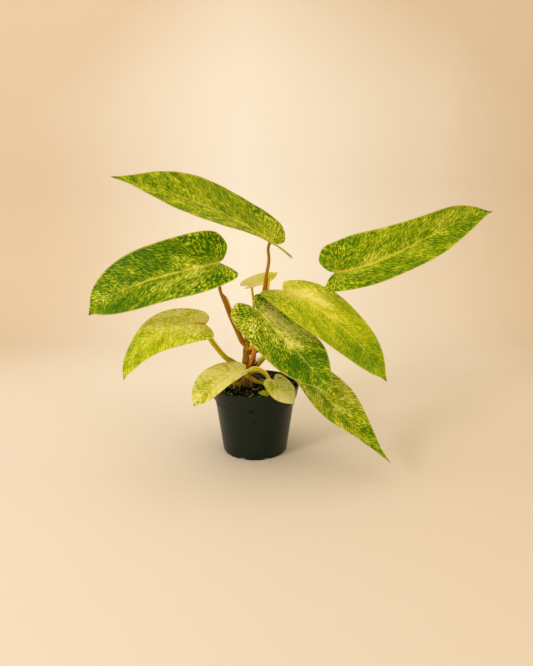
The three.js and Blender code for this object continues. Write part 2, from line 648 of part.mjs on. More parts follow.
// Old sheath: a strip curled back on itself at the foot of the stem
function oldSheathGeometry() {
  return tube(SHEATH_PATH, {
    steps: SHEATH_STEPS,
    sides: SHEATH_SIDES,
    side: [0, 0, 1],
    radius: (t) => SHEATH_RADIUS - SHEATH_TAPER * t,
    wing: (t) => SHEATH_WING * smoothstep(t, 0, SHEATH_RISE) * (1 - smoothstep(t, SHEATH_FALL, 1)),
  });
}

// Everything in its place. Each stalk is cut clear of the stem and of the stalks made before it
// that it starts among.
const group = new THREE.Group();
group.add(makePot());

const stemRoom = stemSolid(GAP);
group.add(makeSoil([stemRoom]));
group.add(piece('stem', toGeometry(largest(stemSolid())), 'stem', ROUGHNESS.stem));

const taken = [stemRoom];
function clearOf(solid, reserved) {
  return largest(reserved.reduce((body, room) => body.subtract(room), solid));
}

LEAVES.forEach((leaf) => {
  const solid = clearOf(toSolid(stalkGeometry(leaf)), taken);
  group.add(piece(`petiole_${leaf.name}`, toGeometry(solid), leaf.stalkColour, ROUGHNESS.stalk));
  taken.push(toSolid(stalkGeometry(leaf, GAP)));
});
const cataphyll = clearOf(toSolid(cataphyllGeometry()), taken);
group.add(piece('cataphyll', toGeometry(cataphyll), 'cataphyll', ROUGHNESS.cataphyll));
const oldSheath = clearOf(toSolid(oldSheathGeometry()), taken);
group.add(piece('old_sheath', toGeometry(oldSheath), 'sheath', ROUGHNESS.sheath));

LEAVES.forEach((leaf) => {
  group.add(piece(`blade_${leaf.name}`, bladeGeometry(leaf), leaf.colour, ROUGHNESS.leaf));
});

export default group;
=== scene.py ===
"""A potted painted lady philodendron: variegated heart-shaped leaves, winged stalks, aerial roots, black pot.

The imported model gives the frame. Lengths in the tables below are millimetres in that frame and become metres
where a mesh is made. The origin is the middle of the pot's foot, +Z is up and the viewer looks along +Y.
"""

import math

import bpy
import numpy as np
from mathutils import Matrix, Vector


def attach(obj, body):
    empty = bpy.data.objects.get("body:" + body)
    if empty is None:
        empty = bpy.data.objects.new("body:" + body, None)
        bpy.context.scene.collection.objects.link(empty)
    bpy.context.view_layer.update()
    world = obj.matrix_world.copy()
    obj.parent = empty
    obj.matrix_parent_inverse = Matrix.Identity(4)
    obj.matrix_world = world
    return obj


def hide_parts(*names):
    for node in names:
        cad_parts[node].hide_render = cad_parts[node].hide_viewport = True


bl_info = {
    "name": "Potted Painted Lady Philodendron",
    "version": (1, 0, 0),
    "blender": (4, 5, 0),
    "location": "View3D > Sidebar > Plant",
    "description": "Makes a potted philodendron with streaked leaves and its studio stage",
    "category": "Object",
}

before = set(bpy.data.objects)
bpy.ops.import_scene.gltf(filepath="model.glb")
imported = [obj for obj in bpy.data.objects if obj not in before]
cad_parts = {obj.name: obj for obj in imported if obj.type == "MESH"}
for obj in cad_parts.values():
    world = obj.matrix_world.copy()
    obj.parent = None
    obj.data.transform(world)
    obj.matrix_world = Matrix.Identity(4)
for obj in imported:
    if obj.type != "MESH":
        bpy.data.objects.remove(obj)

MM = 0.001

# Every leaf, with the same names and measures as its solid.
# place: leaf base. lobe: how far the lobes reach behind it, in leaf lengths. full: how much of the fullness
# below widens the body. heading, roll, left and right: degrees at base and tip, the last two the folds of the
# halves. climb: elevation at base and tip, how late it bends, how much it is raised halfway.
# wave: height, count and start of the margin's waves.
# stalk: points from the stem up. wing: sheath height, its end along the stalk and the side it faces.
# pointed: the side whose lobe is pointed, 1 left or -1 right. ripple: what the left half's width gains or
# loses at each body point. attach: where the stalk meets the midrib. lean: how far the stalk's end turns
# along the blade. belly: how far the stalk swells on the side away from its wing.
# tone: 0 for the darkest green and 1 for cream. mottle: how strongly the dashes show. rib: how clearly the
# pale midrib shows. blush: how red its base is. grain: how fine the dashes are.
# marks: in hundredths. Each adds its last number to the tone round (along, across) with that reach each way,
# in leaf lengths and half widths.
LEAVES = {
    "top_left": dict(
        place=(20.7, 0, 245.6), length=187.7, half_width=42.9, lobe=0.1, full=-0.08, attach=0.012,
        heading=(206.1, 212), climb=(31.6, 10.8, 1.22, -2.8), roll=(-33.2, -50.3),
        left=(19.5, 12.5), right=(12.7, 15.1), wave=(2.2, 2.48, 0.09),
        stalk=[(-8, 4, 130), (-3.5, 6, 134), (3, 7, 157), (10.4, 7, 188), (12.8, 6, 203), (16.4, 4, 224)],
        stalk_radius=(2.6, 1.5), wing=(3.4, 0.55, (1, -0.3, 0)),
        leaf_slot="leaf_mid", stalk_slot="stalk_red", tone=0.425, mottle=0.8, blush=0.0, rib=0.9,
        marks=[
            (5, 50, 28, 60, 13), (0, -45, 12, 50, 10), (33, -50, 15, 40, -8), (13, -80, 10, 35, -10),
            (0, 15, 6, 30, 9), (50, 80, 12, 30, -12), (80, -50, 6, 15, -12),
        ],
    ),
    "top_right": dict(
        place=(93, 10, 210.7), length=210.8, half_width=35.2, lobe=0.085, full=0.41,
        pointed=-1, ripple=(0.09, -0.02, -0.07, 0.03, 0.02, 0, 0),
        heading=(5.1, 21.4), climb=(6.7, 6.8, 3.5, 19.1), roll=(57.2, 62.3),
        left=(24, 36.3), right=(21.5, 28.2), wave=(4.4, 2.23, 0.78),
        stalk=[(-8.5, 7, 116), (2, 9, 118), (30, 16, 131), (60, 26, 153), (83, 32, 176), (92, 27, 195)],
        stalk_radius=(2.8, 1.7), wing=(2.2, 0.5, (0, 0, 1)),
        leaf_slot="leaf_dark", stalk_slot="stalk_red", tone=0.38, mottle=0.85, blush=0.3, rib=1.0,
        marks=[
            (30, 22, 22, 20, 14), (6, 32, 7, 25, -10), (-7, 40, 7, 60, -10), (25, -50, 25, 35, -8),
            (75, 25, 18, 15, 12), (50, -15, 20, 12, 10), (14, 0, 8, 45, 14), (8, 80, 6, 20, -12),
            (20, -95, 8, 20, -10), (40, -15, 7, 20, -12), (58, 65, 10, 20, 9), (80, -40, 10, 35, -22),
            (90, 25, 6, 20, -12),
        ],
    ),
    "upper_left": dict(
        place=(-38.2, -18, 224.7), length=158.5, half_width=39.5, lobe=0.09, full=1.12, pointed=1,
        heading=(195.1, 170.5), climb=(-12, -49.5, 3.14, -1), roll=(-49.4, -66.2),
        left=(19.3, 18), right=(14.3, 13.9), wave=(1.5, 2.91, 0.58),
        stalk=[
            (-10, 2, 126), (-15, 0, 131), (-20, -3, 143.5), (-26, -6, 158), (-32, -9, 176), (-38.5, -11, 196),
        ],
        stalk_radius=(2.6, 1.6), wing=(2.6, 0.62, (1, 0, 0.3)),
        leaf_slot="leaf_dark", stalk_slot="stalk_red", tone=0.25, mottle=1.05, blush=0.2, rib=1.0,
        marks=[
            (12, -10, 12, 20, 20), (28, -22, 12, 20, 20), (15, 20, 12, 20, 16), (0, -95, 8, 25, 34),
            (20, -40, 6, 40, -8), (-5, 48, 7, 25, 30), (74, 75, 10, 20, -12), (78, 45, 15, 35, -28),
            (42, -65, 20, 35, -7), (45, -26, 10, 17, -36), (33, 40, 10, 30, 22), (58, 0, 10, 30, 12),
            (79, -15, 11, 20, 22), (70, -50, 5, 20, -14),
        ],
    ),
    "lower_left": dict(
        place=(-56.4, -17, 155.9), length=119.6, half_width=31.2, lobe=0.07, full=0.45,
        heading=(200.4, 192.3), climb=(9, -81.8, 1.19, 0), roll=(-26.1, -34.4),
        left=(2.2, -8.6), right=(-2.6, -13.1), wave=(1.6, 2.81, 0.35),
        stalk=[
            (-12, 6, 97), (-21, 6.5, 101), (-28.5, 5.5, 106), (-36, -2, 113), (-46.5, -13, 130),
            (-51.5, -16.5, 139),
        ],
        stalk_radius=(2.4, 1.3), wing=(2.8, 0.72, (0.6, 0, 1)),
        leaf_slot="leaf_lime", stalk_slot="stalk_olive", tone=0.695, mottle=0.58, blush=1.0, rib=0.5,
        # The marks at 22 along and -50 across and at 8 along and 30 across are partly the leaf's own pale
        # yellow and partly painted light where the upper_left blade shades it.
        marks=[
            (22, -50, 45, 60, 16), (8, 30, 20, 60, 10), (65, -50, 16, 35, -24), (50, 60, 25, 40, -12),
            (75, 30, 20, 30, -8), (87, -15, 13, 35, -18),
        ],
    ),
    "rim_left": dict(
        place=(-12.7, -24, 103.6), length=69.3, half_width=29.4, lobe=0.12, full=0.68,
        heading=(204.5, 212.1), climb=(-12.4, -48.3, 1.39, -0.8), roll=(4.2, -22.8),
        left=(15.2, 12.5), right=(9.5, 20), wave=(0.9, 2, 0),
        stalk=[(-11, 2, 97), (-10.6, -6, 97.4), (-9.8, -15, 98)],
        stalk_radius=(1.9, 1.2), wing=(0.8, 0.6, (1, 0, 0)),
        leaf_slot="leaf_cream", stalk_slot="stalk_pale", tone=0.98, mottle=0.9, blush=0.0, rib=0.4,
        marks=[(65, -35, 25, 35, -22), (75, 20, 18, 35, -26), (6, 75, 14, 40, -30)],
    ),
    "front": dict(
        place=(5.6, -46, 174.9), length=122.8, half_width=39.7, lobe=0.16, full=-0.08,
        heading=(-25.8, -60.2), climb=(-42, -31.2, 0.98, 2.6), roll=(11.1, 16.8),
        left=(-4.1, -0.4), right=(-3.7, -3.3), wave=(2.7, 2.61, 0.52),
        stalk=[(-8, 0, 134), (-7, -6, 139), (-4.5, -20, 149), (-2, -33, 157)],
        stalk_radius=(2.6, 1.6), wing=(1.6, 0.5, (1, 0, 0)),
        leaf_slot="leaf_dark", stalk_slot="stalk_red", tone=0.4, mottle=1.15, grain=1.3, blush=0.0, rib=0.75,
        # The marks at 16 along and 45 across and at 36 along and 70 across are partly the left half's own
        # yellow and partly painted light where the mid_right blade shades it; the mark at -8 along and 40
        # across is painted shade on that half's lobe.
        marks=[
            (16, 45, 16, 40, 56), (40, 14, 10, 22, 44), (22, 5, 12, 12, 20), (8, -40, 15, 30, 6),
            (56, -16, 10, 16, -40), (70, 0, 16, 50, -14), (-8, 40, 4, 30, -20), (36, 70, 12, 30, 20),
            (2, 65, 6, 25, 28), (62, 45, 11, 35, -34), (56, -50, 12, 30, -36), (76, -25, 15, 30, -30),
            (50, 42, 6, 25, -18), (-8, -35, 6, 20, 6), (82, 40, 10, 20, 16),
        ],
    ),
    "mid_right": dict(
        place=(34.8, -2, 190.8), length=154.4, half_width=43.3, lobe=0.09, full=0.46,
        heading=(-34.3, -23.9), climb=(-16.9, -58, 1.2, -0.2), roll=(8.4, 25.7),
        left=(3.2, -0.5), right=(4.9, -5.1), wave=(1.65, 3.04, 0.84),
        stalk=[(-8, 2, 122), (-2, 1.5, 126), (10, 2, 140), (22, 2, 160), (30, 0, 176)],
        stalk_radius=(2.6, 1.6), wing=(1.8, 0.55, (1, 0, -0.6)),
        leaf_slot="leaf_lime", stalk_slot="stalk_olive", tone=0.575, mottle=0.48, blush=0.4, rib=0.9,
        marks=[
            (14, 30, 22, 40, 32), (6, -20, 10, 30, 4), (0, -85, 8, 25, -14), (-7, 30, 6, 40, 14),
            (30, -50, 14, 30, -6), (62, 50, 15, 25, -6), (64, -75, 12, 35, -16), (68, -20, 10, 40, -12),
            (80, 0, 10, 60, -26), (93, 0, 6, 50, -10),
        ],
    ),
    "low_right": dict(
        place=(52.3, -20, 104.7), length=142.9, half_width=35.3, lobe=0.13, full=-0.68,
        heading=(-34.7, -49), climb=(-40.2, -27, 1.39, 3), roll=(0.2, 12.4),
        left=(9.8, 16.5), right=(11.6, 17.9), wave=(1.8, 3.27, 0.46),
        stalk=[(-8, 3, 97), (0, 1, 101), (6, -1, 108), (14, -4, 117), (25, -8, 117), (36, -11, 109)],
        stalk_radius=(2.6, 1.4), lean=0.7, wing=(1.8, 0.45, (0.7, 0, -0.7)),
        leaf_slot="leaf_mid", stalk_slot="stalk_olive", tone=0.5, mottle=0.9, blush=0.0, rib=0.6,
        marks=[
            (50, -25, 15, 20, -10), (34, 65, 14, 40, 20), (35, -85, 10, 25, -10), (27, 0, 10, 12, 20),
            (72, -10, 8, 8, 26), (88, 0, 14, 50, -20), (57, -65, 10, 25, 12), (68, 20, 12, 35, -16),
        ],
    ),
    "rim_right": dict(
        place=(23.4, -36, 95.2), length=33.9, half_width=18.7, lobe=0.2, full=0.19,
        heading=(-34.9, -34.8), climb=(-40.6, -43.1, 1.5, -0.3), roll=(2.4, 15.4),
        left=(0.5, 0.3), right=(-6.3, -11.8), wave=(0.5, 2.02, 0.01),
        stalk=[(-10, 2, 92), (-7.5, -6, 94.5), (-2, -14, 101.5), (5, -21, 103.5), (12.5, -28, 101.5)],
        stalk_radius=(3.5, 1.5), belly=1.6, wing=(1.6, 0.85, (-0.3, 0, 1)),
        # Its tone above 1 is partly the leaf's own cream and partly painted light where the front blade shades
        # it.
        leaf_slot="leaf_cream", stalk_slot="stalk_pale", tone=1.06, mottle=0.85, blush=0.0, rib=0.3,
        marks=[(10, -50, 20, 40, -50), (0, 50, 12, 30, -20)],
    ),
    "soil_right": dict(
        place=(15, -37, 81), length=11, half_width=3.8, lobe=0.15, full=0,
        heading=(183, 183), climb=(12, -4, 1, 0), roll=(-38, -38),
        left=(8, 8), right=(8, 8), wave=(0.2, 1, 0),
        stalk=[
            (-11, 2, 92), (-7.5, -4, 91), (-3, -9, 88.5), (2, -13, 86.6), (9, -19, 87), (14.5, -27, 84.5),
            (17.4, -34.5, 80),
        ],
        stalk_radius=(2.6, 0.7), wing=(0.9, 0.5, (0, 0, 1)),
        leaf_slot="leaf_mid", stalk_slot="stalk_pale", tone=0.55, mottle=0.5, blush=0.0, rib=0.2,
        marks=[],
    ),
    "back": dict(
        place=(-3, 26.4, 195), length=36.4, half_width=14.1, lobe=0.35, full=0.1,
        heading=(24, 31.7), climb=(17.5, 20.9, 1.5, 1.2), roll=(9, 25.2),
        left=(13.6, 13.9), right=(9.9, 7.3), wave=(0.45, 2.02, 0.51),
        stalk=[(-8.5, 5, 128), (-6.2, 9.6, 134), (-3.2, 15, 149), (-1.2, 20.5, 171)],
        stalk_radius=(1.8, 1.2), wing=(0.8, 0.4, (1, 0, 0)),
        # Its tone of 1 is partly the leaf's own pale colour and partly painted light coming through the blade
        # from behind.
        leaf_slot="leaf_lime", stalk_slot="stalk_pale", tone=1.0, mottle=0.5, blush=0.0, rib=0.2,
        marks=[(60, -20, 35, 80, -30)],
    ),
}

# Outline of half a blade: lobe points in lobe lengths behind the leaf base, body points in leaf lengths
# before it; the second number is in half widths, and the fullness adds to it.
LOBE_OUTLINE = np.array([(0, 0), (-0.5, 0.10), (-1, 0.42), (-0.72, 0.80), (0, 0.97)])
POINTED_LOBE = np.array([(0, 0), (-0.42, 0.2), (-0.8, 0.46), (-0.95, 0.7), (-0.42, 0.86)])
BODY_OUTLINE = np.array([
    (0.16, 1), (0.36, 0.95), (0.56, 0.78), (0.74, 0.50), (0.87, 0.24), (0.95, 0.085), (1, 0),
])
BODY_FULLNESS = np.array([0, 0.03, 0.12, 0.19, 0.19, 0.07, 0])
LOBE_SHARE = 0.34
LOBE_VEIN_REACH = 0.04
VEIN_START_POWER = 1.1
VEIN_CURVE = 1.25
VEIN_LEAN = 0.95
VEIN_BEND = 0.22
VEIN_FAN = 16
WAVE_OFFSET = 0.4
KEEL_DEPTH = 1.1
GROOVE_DEPTH = 0.3
FULL_KEEL_LEAF = 90
SMALL_LEAF = 60
SPINE_STEPS = 160
BLADE_CREASE = math.radians(50)
# Columns crowd towards the midrib by this share and power, with two more at the margin.
CROWDING = 0.65
CROWDING_POWER = 1.6
MARGIN_COLUMNS = [0.985, 1.0]
# Where a stalk's last point lies under its midrib, and how long it takes to turn up to it.
STALK_CLEARANCE = 0.3
STALK_SUNK_SHARE = 0.45
STALK_APPROACH = 9
STALK_LEAN = 0.5
STALK_FLUTES = 5
FLUTE_DEPTH = 0.096
WING_SPREAD = 0.33
WING_FULL_HEIGHT = 1.12

STEM_PATH = [
    (-14, 8, 54), (-13.5, 7, 70), (-12.6, 5.5, 88), (-10.8, 4, 104), (-9.4, 3, 122), (-8.6, 2.4, 138),
]
STEM_RADIUS = 4.1
STEM_SCAR_PITCH = 13
ROOT_RADIUS = 0.9
ROOT_BOW = 5
ROOT_DROP = 8
ROOTS = [
    ((-12, 2, 92), (-13, -6, 71)), ((-14, 3, 90), (-21, -4, 71)), ((-10, 3, 92), (-4, -7, 71)),
    ((-15, 6, 89), (-26, 6, 71)), ((-13, 2, 88), (-17, -9, 71)), ((-10, 5, 90), (0, 4, 71)),
    ((-12, 9, 91), (-9, 22, 71)), ((-13, 2, 93), (-24, -13, 71)),
]
FINE_ROOTS = 34
FIBRES = 44
# Where each set of random draws starts; a stalk adds its leaf's number to its own.
SEEDS = dict(loose=7, veins=11, stalk=3, stem=5, fine_roots=21, fibres=4, cataphyll=9, mix=3, crumbs=4)
CATAPHYLL_PATH = [
    (-8, -0.5, 98), (-5, -1.6, 104.5), (-2.4, -1.8, 112), (-0.6, -2, 121), (2, -4, 134), (3.4, -7, 147),
]
SHEATH_PATH = [
    (-16, -6, 84), (-19, -11, 83), (-23.5, -13, 83.5), (-26.5, -11, 86), (-23.5, -7.5, 88.5),
    (-19.5, -8.5, 89),
]
# Rings along each tube and points round it.
STALK_GRID = (110, 40)
STEM_GRID = (150, 48)
ROOT_GRID = (30, 12)
FINE_ROOT_GRID = (14, 6)
FIBRE_GRID = (12, 6)
CATAPHYLL_GRID = (60, 36)
SHEATH_GRID = (70, 32)
TUBE_UV_WIDTH = 8

# Two small dull dimples on the pot's front: place and reach in metres.
POT_DIMPLES = [((-0.0035, -0.0475, 0.0625), 0.0040), ((0.0008, -0.0450, 0.0495), 0.0036)]
POT_SEGMENTS = 160
POT_FLOOR = 1.8
POT_CREASE = math.radians(35)
DRAINS = 8
DRAIN_HALF_WIDTH = 4.5
DRAIN_HEIGHT = 3
DRAIN_INNER_RADIUS = 31
DRAIN_OVERSHOOT = 1.5
DRAIN_ARCH_POINTS = 13
SOIL_TOP = 77.5
SOIL_TOP_RADIUS = 49.4
SOIL_TOP_RINGS = 110
SOIL_SEGMENTS = 260
# Rings of the mix under its top: radius and height, from the bottom up.
SOIL_BODY = np.array([(36.1, 2.2), (44.5, 65.0), (47.3, 67.2)])
LUMP_REACH = 48.2
LUMP_GRID = (5, 7)

# Each lamp: its place and its width, in metres. They all face the middle of the plant.
LAMPS = {
    "key": ((-1.13, -1.10, 0.96), 0.35),
    "window": ((-1.6, -0.5, 0.8), 1.2),
    "fill": ((1.1, -0.9, 0.7), 0.9),
    "sky": ((-0.3, 0.15, 1.5), 1.2),
}
LAMP_AIM = (0.03, 0, 0.17)
SENSOR_WIDTH = 36
# The sweep's measures in metres.
SWEEP_FRONT, SWEEP_FLAT, SWEEP_BEND, SWEEP_TOP, SWEEP_WIDTH = -1.6, 0.5, 0.35, 2.2, 3.6


# Small formulas

def smoothstep(x, low, high):
    """Rises from 0 at low to 1 at high along 3s^2 - 2s^3."""
    s = np.clip((x - low) / (high - low), 0, 1)
    return s * s * (3 - 2 * s)


def plateau(x, low, full, fall, end):
    """Rises from 0 at low to 1 at full, and falls from 1 at fall to 0 at end."""
    return smoothstep(x, low, full) * (1 - smoothstep(x, fall, end))


def bell(x, width):
    """exp(-(x / width)^2)."""
    return np.exp(-((x / width) ** 2))


def unit(v):
    return v / np.linalg.norm(v, axis=-1, keepdims=True)


def between(pair, t):
    return pair[0] + (pair[1] - pair[0]) * t


def circle(sides):
    return np.linspace(0, math.tau, sides, endpoint=False)


def turn_of(angle):
    """How far an angle from 0 to 2 pi is off 0, whichever way round is shorter."""
    return np.minimum(angle, math.tau - angle)


def spline(points, t):
    """Uniform Catmull-Rom curve through the points, with t from 0 to 1 over the whole of it."""
    points = np.asarray(points, float)
    ends = np.vstack([2 * points[0] - points[1], points, 2 * points[-1] - points[-2]])
    spans = len(points) - 1
    s = np.asarray(t, float) * spans
    i = np.clip(np.floor(s).astype(int), 0, spans - 1)
    f = (s - i)[..., None]
    a, b, c, d = ends[i], ends[i + 1], ends[i + 2], ends[i + 3]
    return 0.5 * (2 * b + (c - a) * f + (2 * a - 5 * b + 4 * c - d) * f**2 + (3 * b - a - 3 * c + d) * f**3)


def slope(points, t):
    """Unit direction of the spline, from a central difference."""
    step = 1e-4
    return unit(spline(points, np.minimum(t + step, 1)) - spline(points, np.maximum(t - step, 0)))


def ripple(seed, *axes):
    """Smooth noise in about -1 to 1: a sum of six sines in random directions over the given coordinates."""
    rng = np.random.default_rng(seed)
    total = 0
    for _ in range(6):
        turns = rng.normal(size=len(axes))
        total = total + np.sin(sum(k * a for k, a in zip(turns, axes)) + rng.uniform(0, math.tau))
    return total / 3


def toned(colour, gain, lift=0.0):
    """A colour made lighter or darker, channel by channel."""
    return tuple(min(c * gain + lift, 1) for c in colour)


# Making meshes

def ring_faces(rings, sides):
    """Quads over rings of points stored one after another, and fans to two poles stored after them."""
    here = np.arange(sides)
    ahead = (here + 1) % sides
    row = np.arange(rings - 1)[:, None] * sides
    quads = np.stack([row + here, row + ahead, row + ahead + sides, row + here + sides], -1).reshape(-1, 4)
    pole = np.full(sides, rings * sides)
    last = (rings - 1) * sides
    return [quads, np.stack([pole, ahead, here], -1), np.stack([pole + 1, last + here, last + ahead], -1)]


def ring_points(x, y, z, first_pole, last_pole):
    """Rings of points one after another, and then the heights of two poles on the Z axis."""
    rings = np.stack(np.broadcast_arrays(x, y, z), -1).reshape(-1, 3)
    return np.vstack([rings, [(0, 0, first_pole), (0, 0, last_pole)]])


def turned(radii, segments):
    """X and Y of rings of those radii about the Z axis."""
    angle = circle(segments)
    return radii[:, None] * np.cos(angle), radii[:, None] * np.sin(angle)


def new_mesh(name, points, faces):
    """A mesh from points in millimetres."""
    mesh = bpy.data.meshes.new(name)
    mesh.from_pydata((np.asarray(points) * MM).tolist(), [], faces)
    return mesh


def new_object(name, data):
    made = bpy.data.objects.new(name, data)
    bpy.context.scene.collection.objects.link(made)
    return made


def make_piece(name, points, faces, material, replaces=(), uv=None, values=None):
    """A smooth piece of the plant from points in millimetres and a list of quad or triangle arrays."""
    mesh = new_mesh(name, points, [face for group in faces for face in group.tolist()])
    mesh.validate()
    mesh.polygons.foreach_set("use_smooth", np.ones(len(mesh.polygons), bool))
    if uv is not None:
        corner = np.zeros(len(mesh.loops), np.int32)
        mesh.loops.foreach_get("vertex_index", corner)
        layer = mesh.uv_layers.new(name="veins")
        layer.data.foreach_set("uv", np.asarray(uv, np.float32)[corner].ravel())
    for key, numbers in (values or {}).items():
        attribute = mesh.attributes.new(key, "FLOAT", "POINT")
        attribute.data.foreach_set("value", np.asarray(numbers, np.float32))
    mesh.materials.append(material)
    piece = new_object(name, mesh)
    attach(piece, "root")
    if replaces:
        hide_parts(*replaces)
    return piece


def closed_tube(path, grid, radius, side=(1, 0, 0), reach=None):
    """A tube round a spline, its ends closed: points, faces, UV (along, round) in millimetres, and t.

    Each point lies radius(t) plus reach(t, angle) out from the spline, and angle 0 faces side.
    """
    rings, sides = grid
    t = np.linspace(0, 1, rings)
    centre = spline(path, t)
    along = slope(path, t)
    towards = np.asarray(side, float)
    out = unit(towards - along * (along @ towards)[:, None])
    across = np.cross(along, out)
    angle = circle(sides)
    distance = radius(t)[:, None] * np.ones(sides)
    if reach is not None:
        distance = distance + reach(t[:, None], angle)
    spoke = out[:, None] * np.cos(angle)[:, None] + across[:, None] * np.sin(angle)[:, None]
    skin = centre[:, None] + spoke * distance[..., None]
    points = np.vstack([skin.reshape(-1, 3), centre[:1], centre[-1:]])
    run = np.concatenate([[0], np.cumsum(np.linalg.norm(np.diff(centre, axis=0), axis=1))])
    uv = np.stack(np.broadcast_arrays(run[:, None], TUBE_UV_WIDTH * np.cos(angle)), -1).reshape(-1, 2)
    uv = np.vstack([uv, [(0, 0), (run[-1], 0)]])
    share = np.concatenate([np.repeat(t, sides), [0, 1]])
    return points, ring_faces(rings, sides), uv, share


def join_shapes(shapes):
    """Several (points, faces, uv, share) made one."""
    starts = np.cumsum([0] + [len(shape[0]) for shape in shapes])
    faces = [group + start for shape, start in zip(shapes, starts) for group in shape[1]]
    points, uv, share = (np.concatenate([shape[k] for shape in shapes]) for k in (0, 2, 3))
    return points, faces, uv, share


# Materials

class Finish:
    """A node material with short ways to add nodes to it. Sockets take values, colours or other sockets."""

    def __init__(self, name, colour):
        self.material = bpy.data.materials.new(name)
        self.material.use_nodes = True
        self.material.diffuse_color = (*colour, 1)
        self.tree = self.material.node_tree
        self.tree.nodes.clear()
        self.output = self.add("ShaderNodeOutputMaterial")
        self.surface = self.add("ShaderNodeBsdfPrincipled")
        self.wire(self.output, {"Surface": self.surface.outputs[0]})

    def wire(self, node, inputs):
        for key, value in inputs.items():
            socket = node.inputs[key]
            if isinstance(value, bpy.types.NodeSocket):
                self.tree.links.new(value, socket)
            else:
                socket.default_value = (*value, 1) if socket.type == "RGBA" else value
        return node

    def add(self, kind, inputs=None, **settings):
        node = self.tree.nodes.new(kind)
        for key, value in settings.items():
            setattr(node, key, value)
        return self.wire(node, inputs or {})

    def calc(self, operation, *values, clamp=False):
        node = self.add("ShaderNodeMath", dict(enumerate(values)), operation=operation, use_clamp=clamp)
        return node.outputs[0]

    def times(self, *values, clamp=False):
        """The first value times the second, plus the third where there is one."""
        return self.calc("MULTIPLY" if len(values) == 2 else "MULTIPLY_ADD", *values, clamp=clamp)

    def off_half(self, value, gain, base=0.0, clamp=False):
        """Gain times how far a noise is off one half, on top of a base."""
        return self.times(self.calc("SUBTRACT", value, 0.5), gain, base, clamp=clamp)

    def blend(self, factor, first, second):
        return self.add("ShaderNodeMix", {0: factor, 6: first, 7: second}, data_type="RGBA").outputs[2]

    def ramp(self, factor, *stops):
        node = self.add("ShaderNodeValToRGB", {0: factor})
        elements = node.color_ramp.elements
        while len(elements) < len(stops):
            elements.new(1.0)
        for element, (place, colour) in zip(elements, stops):
            element.position = place
            element.color = (*colour, 1)
        return node.outputs[0]

    def spread(self, value, low, high, kind="SMOOTHSTEP"):
        """0 at low and 1 at high."""
        return self.add("ShaderNodeMapRange", {0: value, 1: low, 2: high}, interpolation_type=kind).outputs[0]

    def noise(self, vector, stretch, detail, rough, place=(0, 0, 0), scale=1):
        """Noise about 0.5 over a vector that is first stretched and moved."""
        mapping = self.add("ShaderNodeMapping", {"Vector": vector, "Location": place, "Scale": stretch})
        inputs = {"Vector": mapping.outputs[0], "Scale": scale, "Detail": detail, "Roughness": rough}
        return self.add("ShaderNodeTexNoise", inputs).outputs["Fac"]

    def value(self, name):
        return self.add("ShaderNodeAttribute", attribute_name=name).outputs["Fac"]

    def veins(self):
        return self.add("ShaderNodeUVMap", uv_map="veins").outputs[0]

    def place(self):
        return self.add("ShaderNodeTexCoord").outputs["Object"]

    def axes(self, vector):
        return self.add("ShaderNodeSeparateXYZ", {0: vector}).outputs

    def finish(self, colour, rough, relief, shine, depth, strength, glow=None):
        """Sets the surface: relief stands out by depth, and glow is the share of light that comes through."""
        bump = self.add("ShaderNodeBump", {"Height": relief, "Distance": depth, "Strength": strength})
        normal = bump.outputs[0]
        inputs = {"Base Color": colour, "Roughness": rough, "Specular IOR Level": shine, "Normal": normal}
        self.wire(self.surface, inputs)
        if glow:
            through = self.add("ShaderNodeBsdfTranslucent", {"Color": colour, "Normal": normal})
            both = {0: glow, 1: self.surface.outputs[0], 2: through.outputs[0]}
            self.wire(self.output, {"Surface": self.add("ShaderNodeMixShader", both).outputs[0]})
        return self.material


def leaf_material(name, look):
    """Short dashes run out along the veins, thick in some patches and thin in others, with finer flecks.

    The tone is the leaf's own plus each noise's share, and picks a colour between deep green and cream.
    """
    skin = Finish(name, look.lime)
    x, y, _ = skin.axes(skin.veins())
    vector = skin.add("ShaderNodeCombineXYZ", {0: x, 1: y, 2: skin.value("seed")}).outputs[0]
    across, along = 1 / look.streak_width, 1 / look.streak_length
    streak = skin.noise(vector, (across, along, 1), 3, 0.62)
    patch = skin.noise(vector, (across * 0.09, along * 0.197, 1), 2, 0.55, (31, 17, 5))
    fleck = skin.noise(vector, (across * 1.5, along * 2.4, 1), 2, 0.6, (7, 53, 11))
    marks = skin.off_half(skin.spread(streak, 0.42, 0.6), look.dash_gain)
    marks = skin.off_half(patch, look.patch_gain, marks)
    marks = skin.off_half(fleck, look.fleck_gain, marks)
    tone = skin.times(marks, skin.value("mottle"), skin.value("tone"))
    colour = skin.ramp(
        tone, (0.0, look.deep), (0.3, look.green), (0.46, look.grass), (0.62, look.lime), (0.8, look.yellow),
        (1.0, look.cream))
    rib = skin.times(skin.value("rib"), skin.off_half(patch, 1.5, 0.75), clamp=True)
    colour = skin.blend(rib, colour, look.rib)
    colour = skin.blend(skin.times(skin.value("edge"), 0.6), colour, look.margin)
    colour = skin.blend(skin.value("blush"), colour, look.blush)
    colour = skin.blend(skin.value("tip"), colour, look.tip)
    # Undersides lean to a paler colour: partly their own paler green and partly painted light coming through
    # the blade.
    colour = skin.blend(skin.times(skin.value("under"), 0.55), colour, look.under)
    relief = skin.times(fleck, 0.5, streak)
    rough = skin.times(patch, 0.2, 0.36)
    return skin.finish(colour, rough, relief, shine=0.09, depth=0.00022, strength=0.3, glow=0.24)


